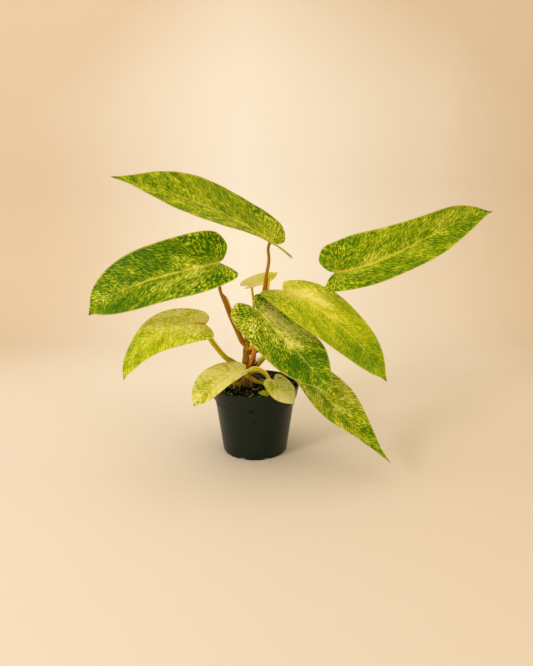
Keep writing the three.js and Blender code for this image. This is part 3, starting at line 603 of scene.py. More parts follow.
def stalk_material(name, body, wing, foot):
    """Waxy skin with fine streaks along it, paler on the sheath, with painted shade in the groove along the
    foot of the sheath.
    """
    skin = Finish(name, body)
    veins = skin.veins()
    streak = skin.noise(veins, (0.09, 1.6, 1), 3, 0.6)
    fleck = skin.noise(veins, (0.6, 0.9, 1), 2, 0.5, (4, 8, 0))
    shade = skin.times(fleck, 0.4, skin.times(streak, 0.9))
    dark = toned(body, 0.5)
    colour = skin.ramp(shade, (0.35, dark), (0.6, body), (0.85, toned(body, 1.4)))
    none, groove_shade = (0,) * 3, (0.75,) * 3
    # Painted shade: a darker band where the sheath rises from the stalk, standing in for the shade in that
    # groove.
    fold = skin.ramp(skin.value("wing"), (0.02, none), (0.1, groove_shade), (0.3, groove_shade), (0.5, none))
    colour = skin.blend(fold, colour, dark)
    pale = skin.spread(skin.value("wing"), 0.35, 0.6, "LINEAR")
    colour = skin.blend(skin.times(pale, 0.9), colour, wing)
    colour = skin.blend(skin.value("foot"), colour, foot)
    return skin.finish(colour, 0.4, streak, shine=0.12, depth=0.0004, strength=0.5)


def bark_material(look):
    """Olive and brown skin with corky scar rings, and tan roots below."""
    skin = Finish("stem_skin", look.stem)
    veins = skin.veins()
    streak = skin.noise(veins, (0.12, 1.4, 1), 4, 0.65)
    cork = skin.noise(veins, (0.8, 0.4, 1), 3, 0.6, (2, 5, 0))
    colour = skin.ramp(streak, (0.34, look.groove), (0.48, look.stem), (0.64, look.stem_light))
    colour = skin.blend(skin.times(skin.value("scar"), 0.7), colour, look.groove)
    tan = skin.ramp(cork, (0.35, look.root_dark), (0.6, look.root))
    colour = skin.blend(skin.value("root"), colour, tan)
    return skin.finish(colour, 0.6, skin.calc("ADD", streak, cork), shine=0.12, depth=0.0005, strength=0.5)


def sheath_material(name, body, edge):
    """A thin sheath: streaks along it, drying to another colour at its edge and tip."""
    skin = Finish(name, body)
    streak = skin.noise(skin.veins(), (0.08, 1.3, 1), 4, 0.6)
    colour = skin.ramp(streak, (0.32, toned(body, 0.5)), (0.5, body), (0.7, toned(body, 1.3, 0.03)))
    colour = skin.blend(skin.value("wing"), colour, edge)
    return skin.finish(colour, 0.5, streak, shine=0.15, depth=0.0004, strength=0.6, glow=0.25)


def pot_material(pot):
    """Satin moulded plastic: cloudy dust, scuffs, two dull dimples and a dull line under the rim band."""
    skin = Finish("pot_plastic", pot.colour)
    place = skin.place()
    streak = skin.noise(place, (90, 90, 8), 3, 0.6)
    cloud = skin.noise(place, (24, 24, 18), 3, 0.55, (1, 2, 3))
    scuff = skin.noise(place, (420, 420, 160), 2, 0.5, (5, 1, 7))
    dust = skin.times(cloud, 0.6, skin.times(streak, 0.4))
    colour = skin.ramp(dust, (0.38, toned(pot.colour, 0.6)), (0.55, pot.colour), (0.7, pot.dust))
    scuffed = skin.times(skin.calc("SUBTRACT", scuff, 0.68), 9.0, clamp=True)
    colour = skin.blend(skin.times(scuffed, 0.3), colour, pot.scuff)
    rough = skin.times(cloud, 0.25, 0.22)
    for point, reach in POT_DIMPLES:
        far = skin.add("ShaderNodeVectorMath", {0: place, 1: point}, operation="DISTANCE").outputs["Value"]
        near = skin.spread(far, reach, reach * 0.4)
        colour = skin.blend(skin.times(near, 0.6), colour, (0.001,) * 3)
        rough = skin.times(near, 0.35, rough)
    tall = skin.axes(place)[2]
    band = pot.height - pot.band_depth
    below = skin.spread(tall, band + 0.001, band - 0.0005, "LINEAR")
    above = skin.spread(tall, band - 0.006, band - 0.0035, "LINEAR")
    rough = skin.times(skin.times(below, above), 0.28, rough, clamp=True)
    relief = skin.times(streak, 0.5, skin.times(scuff, 0.15, cloud))
    return skin.finish(colour, rough, relief, shine=0.22, depth=0.0006, strength=0.3)


def mix_material(name, dark, light, scale):
    """Crumbs, bark or grit: mottled between two colours, with a grainy relief."""
    skin = Finish(name, dark)
    place = skin.place()
    grain = skin.noise(place, (1, 1, 1), 4, 0.7, scale=scale)
    coarse = skin.noise(place, (1, 1, 1), 2, 0.5, (3, 4, 5), scale * 0.25)
    shade = skin.times(grain, 0.6, skin.times(coarse, 0.4))
    colour = skin.ramp(shade, (0.38, dark), (0.66, light))
    return skin.finish(colour, 0.9, grain, shine=0.12, depth=0.0008, strength=0.8)


def sweep_material(stage):
    """Paper with painted light in the middle of the wall and painted shade towards its sides, its right and
    its top.
    """
    paper = Finish("sweep_paper", stage.floor_colour)
    place = paper.place()
    x, y, z = paper.axes(place)
    aside = paper.spread(paper.calc("ABSOLUTE", paper.calc("SUBTRACT", x, 0.06)), 0.0, 0.7)
    behind = paper.spread(y, -0.15, 0.6)
    right = paper.spread(x, -0.2, 0.7)
    high = paper.spread(z, 0.5, 1.0)
    cloud = paper.noise(place, (1, 1, 1), 2, 0.5, scale=3)
    # Painted shade: the sides, the right and the top of the sweep darken towards the wall shade, broken by
    # faint clouds.
    shade = paper.calc("MAXIMUM", paper.times(behind, aside), paper.times(right, 0.75))
    shade = paper.off_half(cloud, 0.2, paper.times(high, 0.8, shade), clamp=True)
    # Painted light: the wall behind turns to a paler, bluer colour than the floor.
    colour = paper.blend(paper.spread(y, -0.1, 0.4), stage.floor_colour, stage.wall_painted_light)
    colour = paper.blend(shade, colour, stage.wall_shade)
    paper.wire(paper.surface, {"Base Color": colour, "Roughness": 0.85})
    return paper.material


# Blades

def blade_frame(leaf, t):
    """Along, left and up at share t: heading and roll are linear, climb bends late and is raised halfway."""
    heading = np.radians(between(leaf["heading"], t))
    base, tip, lateness, arch = leaf["climb"]
    climb = np.radians(base + (tip - base) * t**lateness + arch * np.sin(math.pi * t))
    roll = np.radians(between(leaf["roll"], t))[..., None]
    along = np.stack([np.cos(climb) * np.cos(heading), np.cos(climb) * np.sin(heading), np.sin(climb)], -1)
    level = np.stack([-np.sin(heading), np.cos(heading), np.zeros_like(heading)], -1)
    above = np.cross(along, level)
    return along, level * np.cos(roll) + above * np.sin(roll), above * np.cos(roll) - level * np.sin(roll)


def midrib_points(leaf, x):
    """Points of the midrib at x millimetres from the leaf base, from short steps added up along it."""
    t = np.linspace(0, 1, SPINE_STEPS + 1)
    along = blade_frame(leaf, t)[0]
    steps = (along[1:] + along[:-1]) / 2 * leaf["length"] / SPINE_STEPS
    curve = np.vstack([np.zeros(3), np.cumsum(steps, 0)]) + np.array(leaf["place"], float)
    share = np.clip(x / leaf["length"], 0, 1)
    points = np.stack([np.interp(share, t, curve[:, k]) for k in range(3)], -1)
    return points + along[0] * np.minimum(x, 0)[..., None]


def vein_start(u):
    """Where vein u leaves the midrib: the lobes' veins near the base, the others spread along it."""
    past = np.maximum(u - LOBE_SHARE, 0) / (1 - LOBE_SHARE)
    body = LOBE_VEIN_REACH + (1 - LOBE_VEIN_REACH) * past**VEIN_START_POWER
    return np.where(u < LOBE_SHARE, LOBE_VEIN_REACH * u / LOBE_SHARE, body)


def blade_outline(leaf, u, side):
    """The margin at vein u of the left half, side 1, or the right half, side -1."""
    lobe = POINTED_LOBE if leaf.get("pointed") == side else LOBE_OUTLINE
    body = BODY_OUTLINE.copy()
    body[:, 1] += BODY_FULLNESS * leaf["full"]
    if side > 0 and "ripple" in leaf:
        body[:, 1] += leaf["ripple"]
    lobe = lobe * (leaf["lobe"] * leaf["length"], leaf["half_width"])
    return spline(np.vstack([lobe, body * (leaf["length"], leaf["half_width"])]), u)


def blade_surface(leaf, u, v, look):
    """The blade's middle layer over veins u and shares v, negative to the right of the midrib.

    A point lies at x along the midrib and y across it; the half folds up by its angle, rounded at the midrib,
    and waves by height v^2 sin(pi u) sin(2 pi turns). Returns points, normals, x and y.
    """
    side = np.where(v < 0, -1.0, 1.0)
    share = np.abs(v)
    edge = np.where((v < 0)[..., None], blade_outline(leaf, u, -1), blade_outline(leaf, u, 1))
    start = vein_start(u) * leaf["length"]
    x = start + (edge[..., 0] - start) * share**VEIN_CURVE
    y = edge[..., 1] * share
    t = np.clip(x / leaf["length"], 0, 1)
    _, left, up = blade_frame(leaf, t)
    out = left * side[..., None]
    fold = np.radians(np.where(side > 0, between(leaf["left"], t), between(leaf["right"], t)))
    height, count, phase = leaf["wave"]
    turns = count * u + phase + np.where(side < 0, WAVE_OFFSET, 0)
    wave = height * share**2 * np.sin(math.pi * u) * np.sin(math.tau * turns)
    loose = smoothstep(share, 0.1, 0.7) * np.sin(math.pi * u) * look.looseness / MM
    wave = wave + loose * ripple(SEEDS["loose"] + len(leaf["marks"]), x / 13, y * side / 11)
    round_off = look.midrib_round / MM
    lift = np.sqrt(y**2 + round_off**2) - round_off
    folded = up * np.cos(fold)[..., None] - out * np.sin(fold)[..., None]
    open_share = smoothstep(y, 0, 3)[..., None]
    normal = unit(folded * open_share + up * (1 - open_share))
    points = midrib_points(leaf, x) + out * (y * np.cos(fold))[..., None]
    points = points + up * (lift * np.sin(fold))[..., None] + normal * wave[..., None]
    return points, normal, x, y * side


def vein_coordinates(leaf, x, y):
    """Across and along the side veins, in millimetres.

    In the body a vein leaves the midrib at an acute angle and curves to the tip, so x - lean |y| - bend y^2
    is the same all along it. Behind the first such vein they fan out round the leaf base, by their angle.
    """
    width = np.abs(y)
    across = x - VEIN_LEAN * width - VEIN_BEND / leaf["half_width"] * width**2
    along = width * math.hypot(1, VEIN_LEAN)
    angle = np.arctan2(width, x) - math.atan2(1, VEIN_LEAN)
    behind = across < 0
    along = np.where(behind, np.hypot(x, width), along) * np.where(y < 0, -1, 1)
    return np.where(behind, -angle * VEIN_FAN, across), along


def blade_tone(leaf, x, y):
    """The leaf's tone plus each mark's share, which falls off as a bell round the mark's place."""
    tone = np.full_like(x, leaf["tone"])
    for along, across, reach_along, reach_across, amount in np.array(leaf["marks"]).reshape(-1, 5) / 100:
        run = bell(x / leaf["length"] - along, reach_along)
        tone = tone + amount * run * bell(y / leaf["half_width"] - across, reach_across)
    return tone


def make_blade(name, leaf, look, material):
    """A blade as rings: over its upper face from left to right, and back over its lower one.

    The faces lie off the middle layer by half the thickness, which thins to the margin. The blade swells
    between its side veins, and at the midrib there is a groove above and a keel below.
    """
    small = leaf["length"] < SMALL_LEAF
    rows = look.small_rows if small else look.rows
    half = np.linspace(0, 1, look.small_columns if small else look.columns)
    half = (1 - CROWDING) * half + CROWDING * half**CROWDING_POWER
    half = np.concatenate([half[:-1], MARGIN_COLUMNS])
    columns = np.concatenate([-half[:0:-1], half])
    u, v = np.meshgrid(np.linspace(0, 1, rows)[1:-1], columns, indexing="ij")
    middle, normal, x, y = blade_surface(leaf, u, v, look)

    across, along = vein_coordinates(leaf, x, y)
    share, width = np.abs(v), np.abs(y)
    run = x / leaf["length"]
    along_share = np.clip(run, 0, 1)
    scale = min(1, leaf["length"] / FULL_KEEL_LEAF)
    thick = look.thickness / MM * (0.5 - 0.32 * smoothstep(share, 0.7, 1))
    waves = across / (look.vein_pitch / MM * scale) + 0.6 * ripple(SEEDS["veins"], x / 17, y / 9)
    quilt = look.vein_relief / MM * scale * np.cos(math.tau * waves) * plateau(share, 0.04, 0.25, 0.75, 0.97)
    groove = GROOVE_DEPTH * scale * bell(width, 1.1) * (1 - 0.6 * along_share)
    keel = KEEL_DEPTH * scale * bell(width, 1.3) * (1 - along_share)

    def rings(upper, lower, poles):
        both = np.concatenate([upper[:, ::-1], lower], 1)
        return np.concatenate([both.reshape(-1, *both.shape[2:]), poles])

    top = middle + normal * (thick + quilt - groove)[..., None]
    bottom = middle - normal * (thick - quilt + keel)[..., None]
    points = rings(top, bottom, midrib_points(leaf, np.array([0.0, leaf["length"]])))
    faces = ring_faces(rows - 2, 2 * len(columns))
    uv = np.stack([across, along], -1)
    uv = rings(uv, uv, [(0, 0), (leaf["length"], 0)]) * leaf.get("grain", 1)

    tone = blade_tone(leaf, x, y)
    rib_width = look.rib_width / MM * (1.25 - 0.8 * along_share)
    rib = leaf["rib"] * (1 - smoothstep(along_share, 0.35, 1)) * bell(width, rib_width)
    edge = smoothstep(share, 0.955, 1)
    blush = leaf["blush"] * bell(width, 1.6) * bell(run, 0.12)
    tip = smoothstep(run, 0.955, 0.995)
    values = {
        "tone": rings(tone, tone, [leaf["tone"]] * 2),
        "mottle": np.full(len(points), leaf["mottle"]),
        "seed": np.full(len(points), 13.0 * list(LEAVES).index(name)),
        "rib": rings(rib, rib, [1, 0]),
        "edge": rings(edge, edge, [1, 1]),
        "blush": rings(blush, blush, [0, 0]),
        "tip": rings(tip, tip, [0, 1]),
        "under": rings(np.zeros_like(x), np.ones_like(x), [0, 0]),
    }
    slot, replaced = leaf["leaf_slot"], ("blade_" + name,)
    blade = make_piece("leaf_" + name, points, faces, material, replaced, uv, values)
    blade.data.set_sharp_from_angle(angle=BLADE_CREASE)


# Stalks, stem, roots and sheaths

def stalk_end(leaf):
    """The last two points of a stalk: on the way up to the midrib, and just in its keel."""
    along, _, up = (axis[0] for axis in blade_frame(leaf, np.zeros(1)))
    keel = KEEL_DEPTH * min(1, leaf["length"] / FULL_KEEL_LEAF)
    drop = STALK_CLEARANCE + keel + STALK_SUNK_SHARE * leaf["stalk_radius"][1]
    end = midrib_points(leaf, np.array([leaf.get("attach", 0.015) * leaf["length"]]))[0] - up * drop
    approach = unit(up + leaf.get("lean", STALK_LEAN) * along)
    reach = STALK_APPROACH * min(1, leaf["length"] / SMALL_LEAF)
    return [tuple(end - approach * reach), tuple(end)]


def make_stalk(name, leaf, material):
    """A tapering stalk; its sheath stands out as a thin wing on one side and ends short of the top."""
    height, end, side = leaf["wing"]
    foot, top = leaf["stalk_radius"]
    seed = SEEDS["stalk"] + list(LEAVES).index(name)

    def radius(t):
        return foot + (top - foot) * t**0.7 + 0.35 * smoothstep(t, 0.93, 1)

    def lift(t):
        return WING_FULL_HEIGHT * (0.6 + 0.4 * t / end) * plateau(t, 0, 0.2, end, end + 0.05)

    def reach(t, angle):
        turn = turn_of(angle)
        wing = height * lift(t) * bell(turn, WING_SPREAD)
        flutes = -FLUTE_DEPTH * np.cos(angle * STALK_FLUTES) * smoothstep(turn, 0.4, 1.2)
        lumps = 0.1 * ripple(seed, t * 24, np.cos(angle) * 2, np.sin(angle) * 2)
        belly = leaf.get("belly", 0) * plateau(t, 0.1, 0.35, 0.8, 0.95) * smoothstep(turn, 1.6, math.pi)
        return wing + flutes + lumps + belly

    points, faces, uv, share = closed_tube(leaf["stalk"] + stalk_end(leaf), STALK_GRID, radius, side, reach)
    rings, sides = STALK_GRID
    on_wing = lift(np.linspace(0, 1, rings))[:, None] * bell(turn_of(circle(sides)), 0.3)
    values = {
        "wing": np.concatenate([np.clip(on_wing, 0, 1).ravel(), [0, 0]]),
        "foot": 0.6 * (1 - smoothstep(share, 0, 0.12)),
    }
    make_piece("stalk_" + name, points, faces, material, ("petiole_" + name,), uv, values)


def root_path(start, finish):
    """Out from the stem in a bow, then straight down into the mix."""
    start, finish = np.array(start, float), np.array(finish, float)
    bow = unit(finish[:2] - start[:2]) * ROOT_BOW
    middle = np.array([*((start[:2] + finish[:2]) / 2 + bow), (start[2] * 2 + finish[2]) / 3])
    return [start, middle, finish + (0, 0, ROOT_DROP), finish]


def make_stem(material):
    """A fluted upright stem with leaf scars, and the aerial roots that hold it up."""
    length = STEM_PATH[-1][2] - STEM_PATH[0][2]

    def radius(t):
        taper = 1 - 0.25 * smoothstep(t, 0.75, 1) - 0.12 * (1 - smoothstep(t, 0, 0.25))
        return STEM_RADIUS * taper + 0.15 * np.cos(math.tau * t * length / STEM_SCAR_PITCH)

    def reach(t, angle):
        flute = 0.2 * np.cos(7 * angle + 4 * t) + 0.1 * np.cos(12 * angle - 3)
        knots = ripple(SEEDS["stem"], t * 30, np.cos(angle) * 2, np.sin(angle) * 2)
        return flute + (0.35 - 0.25 * smoothstep(t, 0.45, 0.62)) * knots

    shapes = [closed_tube(STEM_PATH, STEM_GRID, radius, reach=reach)]
    stem_count = len(shapes[0][0])
    for index, ends in enumerate(ROOTS):
        def root_radius(t):
            return ROOT_RADIUS * (1.3 - 0.55 * t) + 0.08 * np.sin(25 * t + index)
        shapes.append(closed_tube(root_path(*ends), ROOT_GRID, root_radius))
    points, faces, uv, share = join_shapes(shapes)
    is_root = np.arange(len(points)) >= stem_count
    scar = bell((share * length / STEM_SCAR_PITCH + 0.5) % 1 - 0.5, 0.06) * ~is_root
    values = {"root": is_root, "scar": scar}
    make_piece("stem_and_roots", points, faces, material, ("stem",), uv, values)


def make_fine_roots(material):
    """Thin roots and dry fibres that hang from the stem's foot, each a random bowed strand."""
    rng = np.random.default_rng(SEEDS["fine_roots"])
    foot, heights, spreads, stray = (-12.4, 5), (84, 97), (2, 20), 2
    shapes = []
    for _ in range(FINE_ROOTS):
        heading = rng.uniform(0, math.tau)
        out = np.array([math.cos(heading), math.sin(heading)])
        start = np.array([*(out * 3 + foot), rng.uniform(*heights)])
        spread = rng.uniform(*spreads)
        low = rng.uniform(SOIL_TOP - 2, SOIL_TOP + 3)
        finish = np.array([*(start[:2] + out * spread + rng.normal(size=2) * stray), low])
        middle = (start + finish) / 2 + np.array([*(out * rng.uniform(-3, 5)), rng.uniform(-4, 6)])
        middle[:2] += rng.normal(size=2) * stray
        width = 0.11 + 0.3 * rng.uniform(0, 1) ** 3
        shapes.append(closed_tube([start, middle, finish], FINE_ROOT_GRID, lambda t: width * (1.1 - 0.6 * t)))
    points, faces, uv, _ = join_shapes(shapes)
    values = {"root": np.ones(len(points)), "scar": np.zeros(len(points))}
    make_piece("fine_roots", points, faces, material, (), uv, values)


def make_fibres(material):
    """What is left of old sheaths: dark strands that lean on the new one, each a random bowed line."""
    rng = np.random.default_rng(SEEDS["fibres"])
    foot, head = np.array([-5.5, -1, 98]), np.array([1.5, -3, 115])
    foot_stray, head_stray, middle_stray = (2.2, 1.6, 1.2), (2.4, 1.6, 1), (0.9, 0.8, 0.6)
    bow = (0.6, -1.6, 0)
    shapes = []
    for _ in range(FIBRES):
        low = foot + rng.normal(size=3) * foot_stray
        high = foot + (head - foot) * rng.uniform(0.45, 1.15) + rng.normal(size=3) * head_stray
        middle = (low + high) / 2 + rng.normal(size=3) * middle_stray + bow
        width = rng.uniform(0.15, 0.4)
        shapes.append(closed_tube([low, middle, high], FIBRE_GRID, lambda t: width * (1.15 - t)))
    points, faces, uv, share = join_shapes(shapes)
    paleness = rng.uniform(0, 1, FIBRES).repeat(len(points) // FIBRES)
    values = {"wing": smoothstep(share, 0.4, 1) * paleness}
    make_piece("sheath_fibres", points, faces, material, (), uv, values)


def make_cataphyll(material):
    """A pointed sheath, widest in its lower third, with a keel on its outer side."""
    def radius(t):
        return 0.25 + 3 * np.sin(math.pi * (0.22 + 0.78 * t)) ** 0.8 * (1 - 0.35 * t)

    def reach(t, angle):
        turn = turn_of(angle)
        keel = 0.8 * bell(turn, 0.25) * np.sin(math.pi * t)
        folds = 0.22 * np.sin(5 * angle + 9 * t) + 0.3 * ripple(SEEDS["cataphyll"], t * 12, np.cos(angle) * 3)
        return keel - 0.5 * bell(turn - 2.5, 0.3) + folds

    points, faces, uv, share = closed_tube(CATAPHYLL_PATH, CATAPHYLL_GRID, radius, reach=reach)
    values = {"wing": 0.85 * smoothstep(share, 0.35, 0.75)}
    make_piece("cataphyll_sheath", points, faces, material, ("cataphyll",), uv, values)


def make_old_sheath(material):
    """A strip curled back on itself, a crescent in section that thins to its tip."""
    def radius(t):
        return 1.5 - 0.9 * t

    def reach(t, angle):
        wing = 1.9 * plateau(t, 0, 0.3, 0.8, 1) * bell(turn_of(angle), 0.4)
        return wing - 0.55 * bell(turn_of(angle) - 1.6, 0.5) * (1 - 0.5 * t)

    points, faces, uv, share = closed_tube(SHEATH_PATH, SHEATH_GRID, radius, (0, 0, 1), reach)
    values = {"wing": 0.7 * smoothstep(share, 0.6, 1)}
    make_piece("curled_sheath", points, faces, material, ("old_sheath",), uv, values)


# Pot and potting mix

def pot_profile(pot):
    """Radius and height from under the foot up the outside, over the lip and down the inside to the floor."""
    keys = ("height", "rim_radius", "band_radius", "band_depth", "body_radius", "foot_radius", "wall")
    height, top, band_foot, band_depth, body, foot, wall = (getattr(pot, key) / MM for key in keys)
    band = height - band_depth
    return np.array([
        (foot - 3, 0), (foot - 1.4, 0), (foot - 0.5, 0.5), (foot, 1.5), (foot + 0.3, 3.2),
        (body - 0.05, band - 4.6), (body + 0.3, band - 3.2), (body + 0.9, band - 2),
        (band_foot - 0.9, band - 0.9), (band_foot - 0.2, band + 0.3), (band_foot + 0.3, band + 1.6),
        (top - 0.42, height - 2.6), (top - 0.1, height - 1.8), (top, height - 1),
        (top - 0.25, height - 0.3), (top - 0.7, height - 0.05),
        (top - wall + 0.3, height), (top - wall, height - 0.35), (band_foot - wall, band + 1),
        (body - wall, band - 1), (foot - wall, POT_FLOOR + 0.8), (foot - wall - 1.5, POT_FLOOR),
    ])


def drain_cutters(pot):
    """Low arches round the foot, each a prism that crosses the wall."""
    turn = np.linspace(0, math.pi, DRAIN_ARCH_POINTS)
    arch = np.stack([DRAIN_HALF_WIDTH * np.cos(turn), DRAIN_HEIGHT * np.sin(turn) ** 0.6], -1)
    arch = np.vstack([[(DRAIN_HALF_WIDTH, -1)], arch, [(-DRAIN_HALF_WIDTH, -1)]])
    sides = len(arch)
    ends = np.array([DRAIN_INNER_RADIUS, pot.foot_radius / MM + DRAIN_OVERSHOOT])
    quads = ring_faces(2, sides)[0]
    points, faces = [], []
    for number in range(DRAINS):
        angle = math.tau * (number + 0.5) / DRAINS - math.pi / 2
        out = np.array([math.cos(angle), math.sin(angle), 0])
        across = np.array([-math.sin(angle), math.cos(angle), 0])
        ring = arch[:, :1] * across + arch[:, 1:] * np.array([0, 0, 1.0])
        points.append((ring + out * ends[:, None, None]).reshape(-1, 3))
        start = 2 * sides * number
        cap = np.arange(start, start + sides)
        faces += [*(quads + start).tolist(), cap[::-1].tolist(), (cap + sides).tolist()]
    return new_object("drain_cutters", new_mesh("drain_cutters", np.vstack(points), faces))


def make_pot_piece(pot, material):
    """The profile turned about Z, then the drain arches cut through its foot."""
    profile = pot_profile(pot)
    points = ring_points(*turned(profile[:, 0], POT_SEGMENTS), profile[:, 1:], 0, POT_FLOOR)
    faces = ring_faces(len(profile), POT_SEGMENTS)
    piece = make_piece("nursery_pot", points, faces, material, ("pot",))
    cutters = drain_cutters(pot)
    cut = piece.modifiers.new("drain_arches", "BOOLEAN")
    cut.operation = "DIFFERENCE"
    cut.object = cutters
    cut.solver = "EXACT"
    bpy.context.view_layer.update()
    graph = bpy.context.evaluated_depsgraph_get()
    done = bpy.data.meshes.new_from_object(piece.evaluated_get(graph))
    piece.modifiers.clear()
    piece.data = done
    bpy.data.objects.remove(cutters)
    piece.data.set_sharp_from_angle(angle=POT_CREASE)


def soil_height(x, y):
    """The mix's lumpy top, in millimetres: the same slow waves as its solid, with finer crumbs."""
    lumps = np.sin(x * 0.31 + 1.3) * np.cos(y * 0.27 - 0.4) + 0.6 * np.sin(x * 0.83 - y * 0.71)
    crumbs = 0.55 * ripple(SEEDS["mix"], x * 1.1, y * 1.1) + 0.35 * ripple(SEEDS["crumbs"], x * 2.3, y * 2.3)
    return SOIL_TOP + 0.96 * lumps + crumbs


def make_mix_body(material):
    """A plain body that fills the pot, under a disc of crumbly mix."""
    top = np.linspace(0, 1, SOIL_TOP_RINGS)[:0:-1] ** 0.8 * SOIL_TOP_RADIUS
    radius = np.concatenate([SOIL_BODY[:, 0], top])
    x, y = turned(radius, SOIL_SEGMENTS)
    z = soil_height(x, y)
    z[:len(SOIL_BODY)] = SOIL_BODY[:, 1:]
    points = ring_points(x, y, z, SOIL_BODY[0, 1], soil_height(0.0, 0.0))
    faces = ring_faces(len(radius), SOIL_SEGMENTS)
    make_piece("potting_mix", points, faces, material, ("soil",))


def scatter_lumps(name, material, count, seed, size, flat, sink):
    """Small stones or chips on the mix: squashed, roughened balls, tilted and turned at random."""
    rng = np.random.default_rng(seed)
    rings, sides = LUMP_GRID
    steep = np.linspace(0, math.pi, rings + 2)[1:-1]
    ball = ring_points(*turned(np.sin(steep), sides), np.cos(steep)[:, None], 1, -1)
    far = LUMP_REACH * np.sqrt(rng.uniform(0, 1, count))
    heading = rng.uniform(0, math.tau, count)
    x, y = far * np.cos(heading), far * np.sin(heading)
    span = rng.uniform(size[0], size[1], (count, 1, 1)) * rng.uniform(0.7, 1.3, (count, 1, 3))
    span[:, :, 2] *= flat
    rough = 1 + 0.18 * rng.normal(size=(count, len(ball), 1))
    px, py, pz = np.moveaxis(ball * rough * span, 2, 0)
    turn = rng.normal(size=(count, 3))
    yaw, tilt = turn[:, :1] * math.pi, turn[:, 1:2] * 0.5
    py, pz = py * np.cos(tilt) - pz * np.sin(tilt), py * np.sin(tilt) + pz * np.cos(tilt)
    px, py = px * np.cos(yaw) - py * np.sin(yaw), px * np.sin(yaw) + py * np.cos(yaw)
    base = soil_height(x, y)[:, None] + span[:, :, 2] * (1 - 2 * sink)
    points = np.stack([px + x[:, None], py + y[:, None], pz + base], -1).reshape(-1, 3)
    offset = (np.arange(count) * len(ball))[:, None, None]
    faces = [(group[:, ::-1] + offset).reshape(-1, group.shape[1]) for group in ring_faces(rings, sides)]
    make_piece(name, points, faces, material)


# Stage

def make_sweep(stage):
    """A pale sweep: a floor that turns up into a wall behind through a quarter circle."""
    turn = np.linspace(0, math.pi / 2, 24)
    depth = np.array([SWEEP_FRONT, *(SWEEP_FLAT + SWEEP_BEND * np.sin(turn)), SWEEP_FLAT + SWEEP_BEND])
    height = np.array([0, *(SWEEP_BEND - SWEEP_BEND * np.cos(turn)), SWEEP_TOP])
    x = np.array([-SWEEP_WIDTH / 2, SWEEP_WIDTH / 2])
    points = np.stack(np.broadcast_arrays(x, depth[:, None], height[:, None]), -1).reshape(-1, 3)
    left = 2 * np.arange(len(depth) - 1)
    mesh = new_mesh("sweep", points / MM, np.stack([left, left + 1, left + 3, left + 2], -1).tolist())
    mesh.polygons.foreach_set("use_smooth", np.ones(len(mesh.polygons), bool))
    mesh.materials.append(sweep_material(stage))
    new_object("sweep", mesh)


def add_lamp(name, place, width, power, colour):
    """A square soft light at place that faces the plant."""
    light = bpy.data.lights.new(name, "AREA")
    light.shape = "SQUARE"
    light.size = width
    light.energy = power
    light.color = colour
    lamp = new_object(name, light)
    lamp.location = place
    lamp.rotation_euler = (Vector(LAMP_AIM) - Vector(place)).to_track_quat("-Z", "Y").to_euler()


def make_camera(stage):
    """The photograph's camera: its height, distance and tilt in the plant's frame."""
    lens = bpy.data.cameras.new("camera")
    lens.lens = stage.lens
    lens.sensor_width = SENSOR_WIDTH
    lens.clip_start = 0.01
    camera = new_object("camera", lens)
    camera.location = stage.camera_place
    camera.rotation_euler = (math.radians(90) - stage.camera_tilt, 0, 0)
    bpy.context.scene.camera = camera


# Settings that a user would change

def colour_setting(name, description, *default):
    return bpy.props.FloatVectorProperty(
        name=name, description=description, default=default, subtype="COLOR", size=3, min=0, max=1)


def length_setting(name, description, default):
    return bpy.props.FloatProperty(
        name=name, description=description, default=default, unit="LENGTH", subtype="DISTANCE", precision=4)


def number_setting(name, description, default, **more):
    return bpy.props.FloatProperty(name=name, description=description, default=default, **more)


def count_setting(name, description, default):
    return bpy.props.IntProperty(name=name, description=description, default=default, min=0)


class PLANT_PG_pot(bpy.types.PropertyGroup):
    """Sizes and colours of the pot"""

    height: length_setting("Height", "Height of the pot", 0.082)
    rim_radius: length_setting("Rim radius", "Radius of the lip", 0.0525)
    band_radius: length_setting("Band foot radius", "Radius at the foot of the rim band", 0.0492)
    band_depth: length_setting("Band depth", "Height of the rim band", 0.016)
    body_radius: length_setting("Body radius", "Radius of the body under the band", 0.0464)
    foot_radius: length_setting("Foot radius", "Radius of the foot", 0.038)
    wall: length_setting("Wall", "Thickness of the wall", 0.0014)
    colour: colour_setting("Plastic", "Colour of the plastic", 0.003, 0.013, 0.0055)
    dust: colour_setting("Dust", "Colour where the plastic is dusty", 0.015, 0.023, 0.012)
    scuff: colour_setting("Scuffs", "Colour of small scuffs", 0.04, 0.05, 0.035)


class PLANT_PG_mix(bpy.types.PropertyGroup):
    """Colours and counts of the potting mix"""

    dark: colour_setting("Mix", "Darkest colour of the mix", 0.0012, 0.0016, 0.0008)
    light: colour_setting("Crumbs", "Lightest colour of the mix", 0.01, 0.0125, 0.008)
    bark: colour_setting("Bark", "Colour of the bark chips", 0.022, 0.024, 0.013)
    perlite: colour_setting("Perlite", "Colour of the white grains", 0.9, 0.76, 0.5)
    # Partly the grit's own grey-green and partly painted light against the shade inside the pot.
    grit: colour_setting("Grit", "Colour of the grey-green grit", 0.2, 0.36, 0.23)
    chips: count_setting("Chips", "How many bark chips", 800)
    grains: count_setting("Grains", "How many pale grains", 170)
    grits: count_setting("Grit count", "How many grey-green grains", 330)


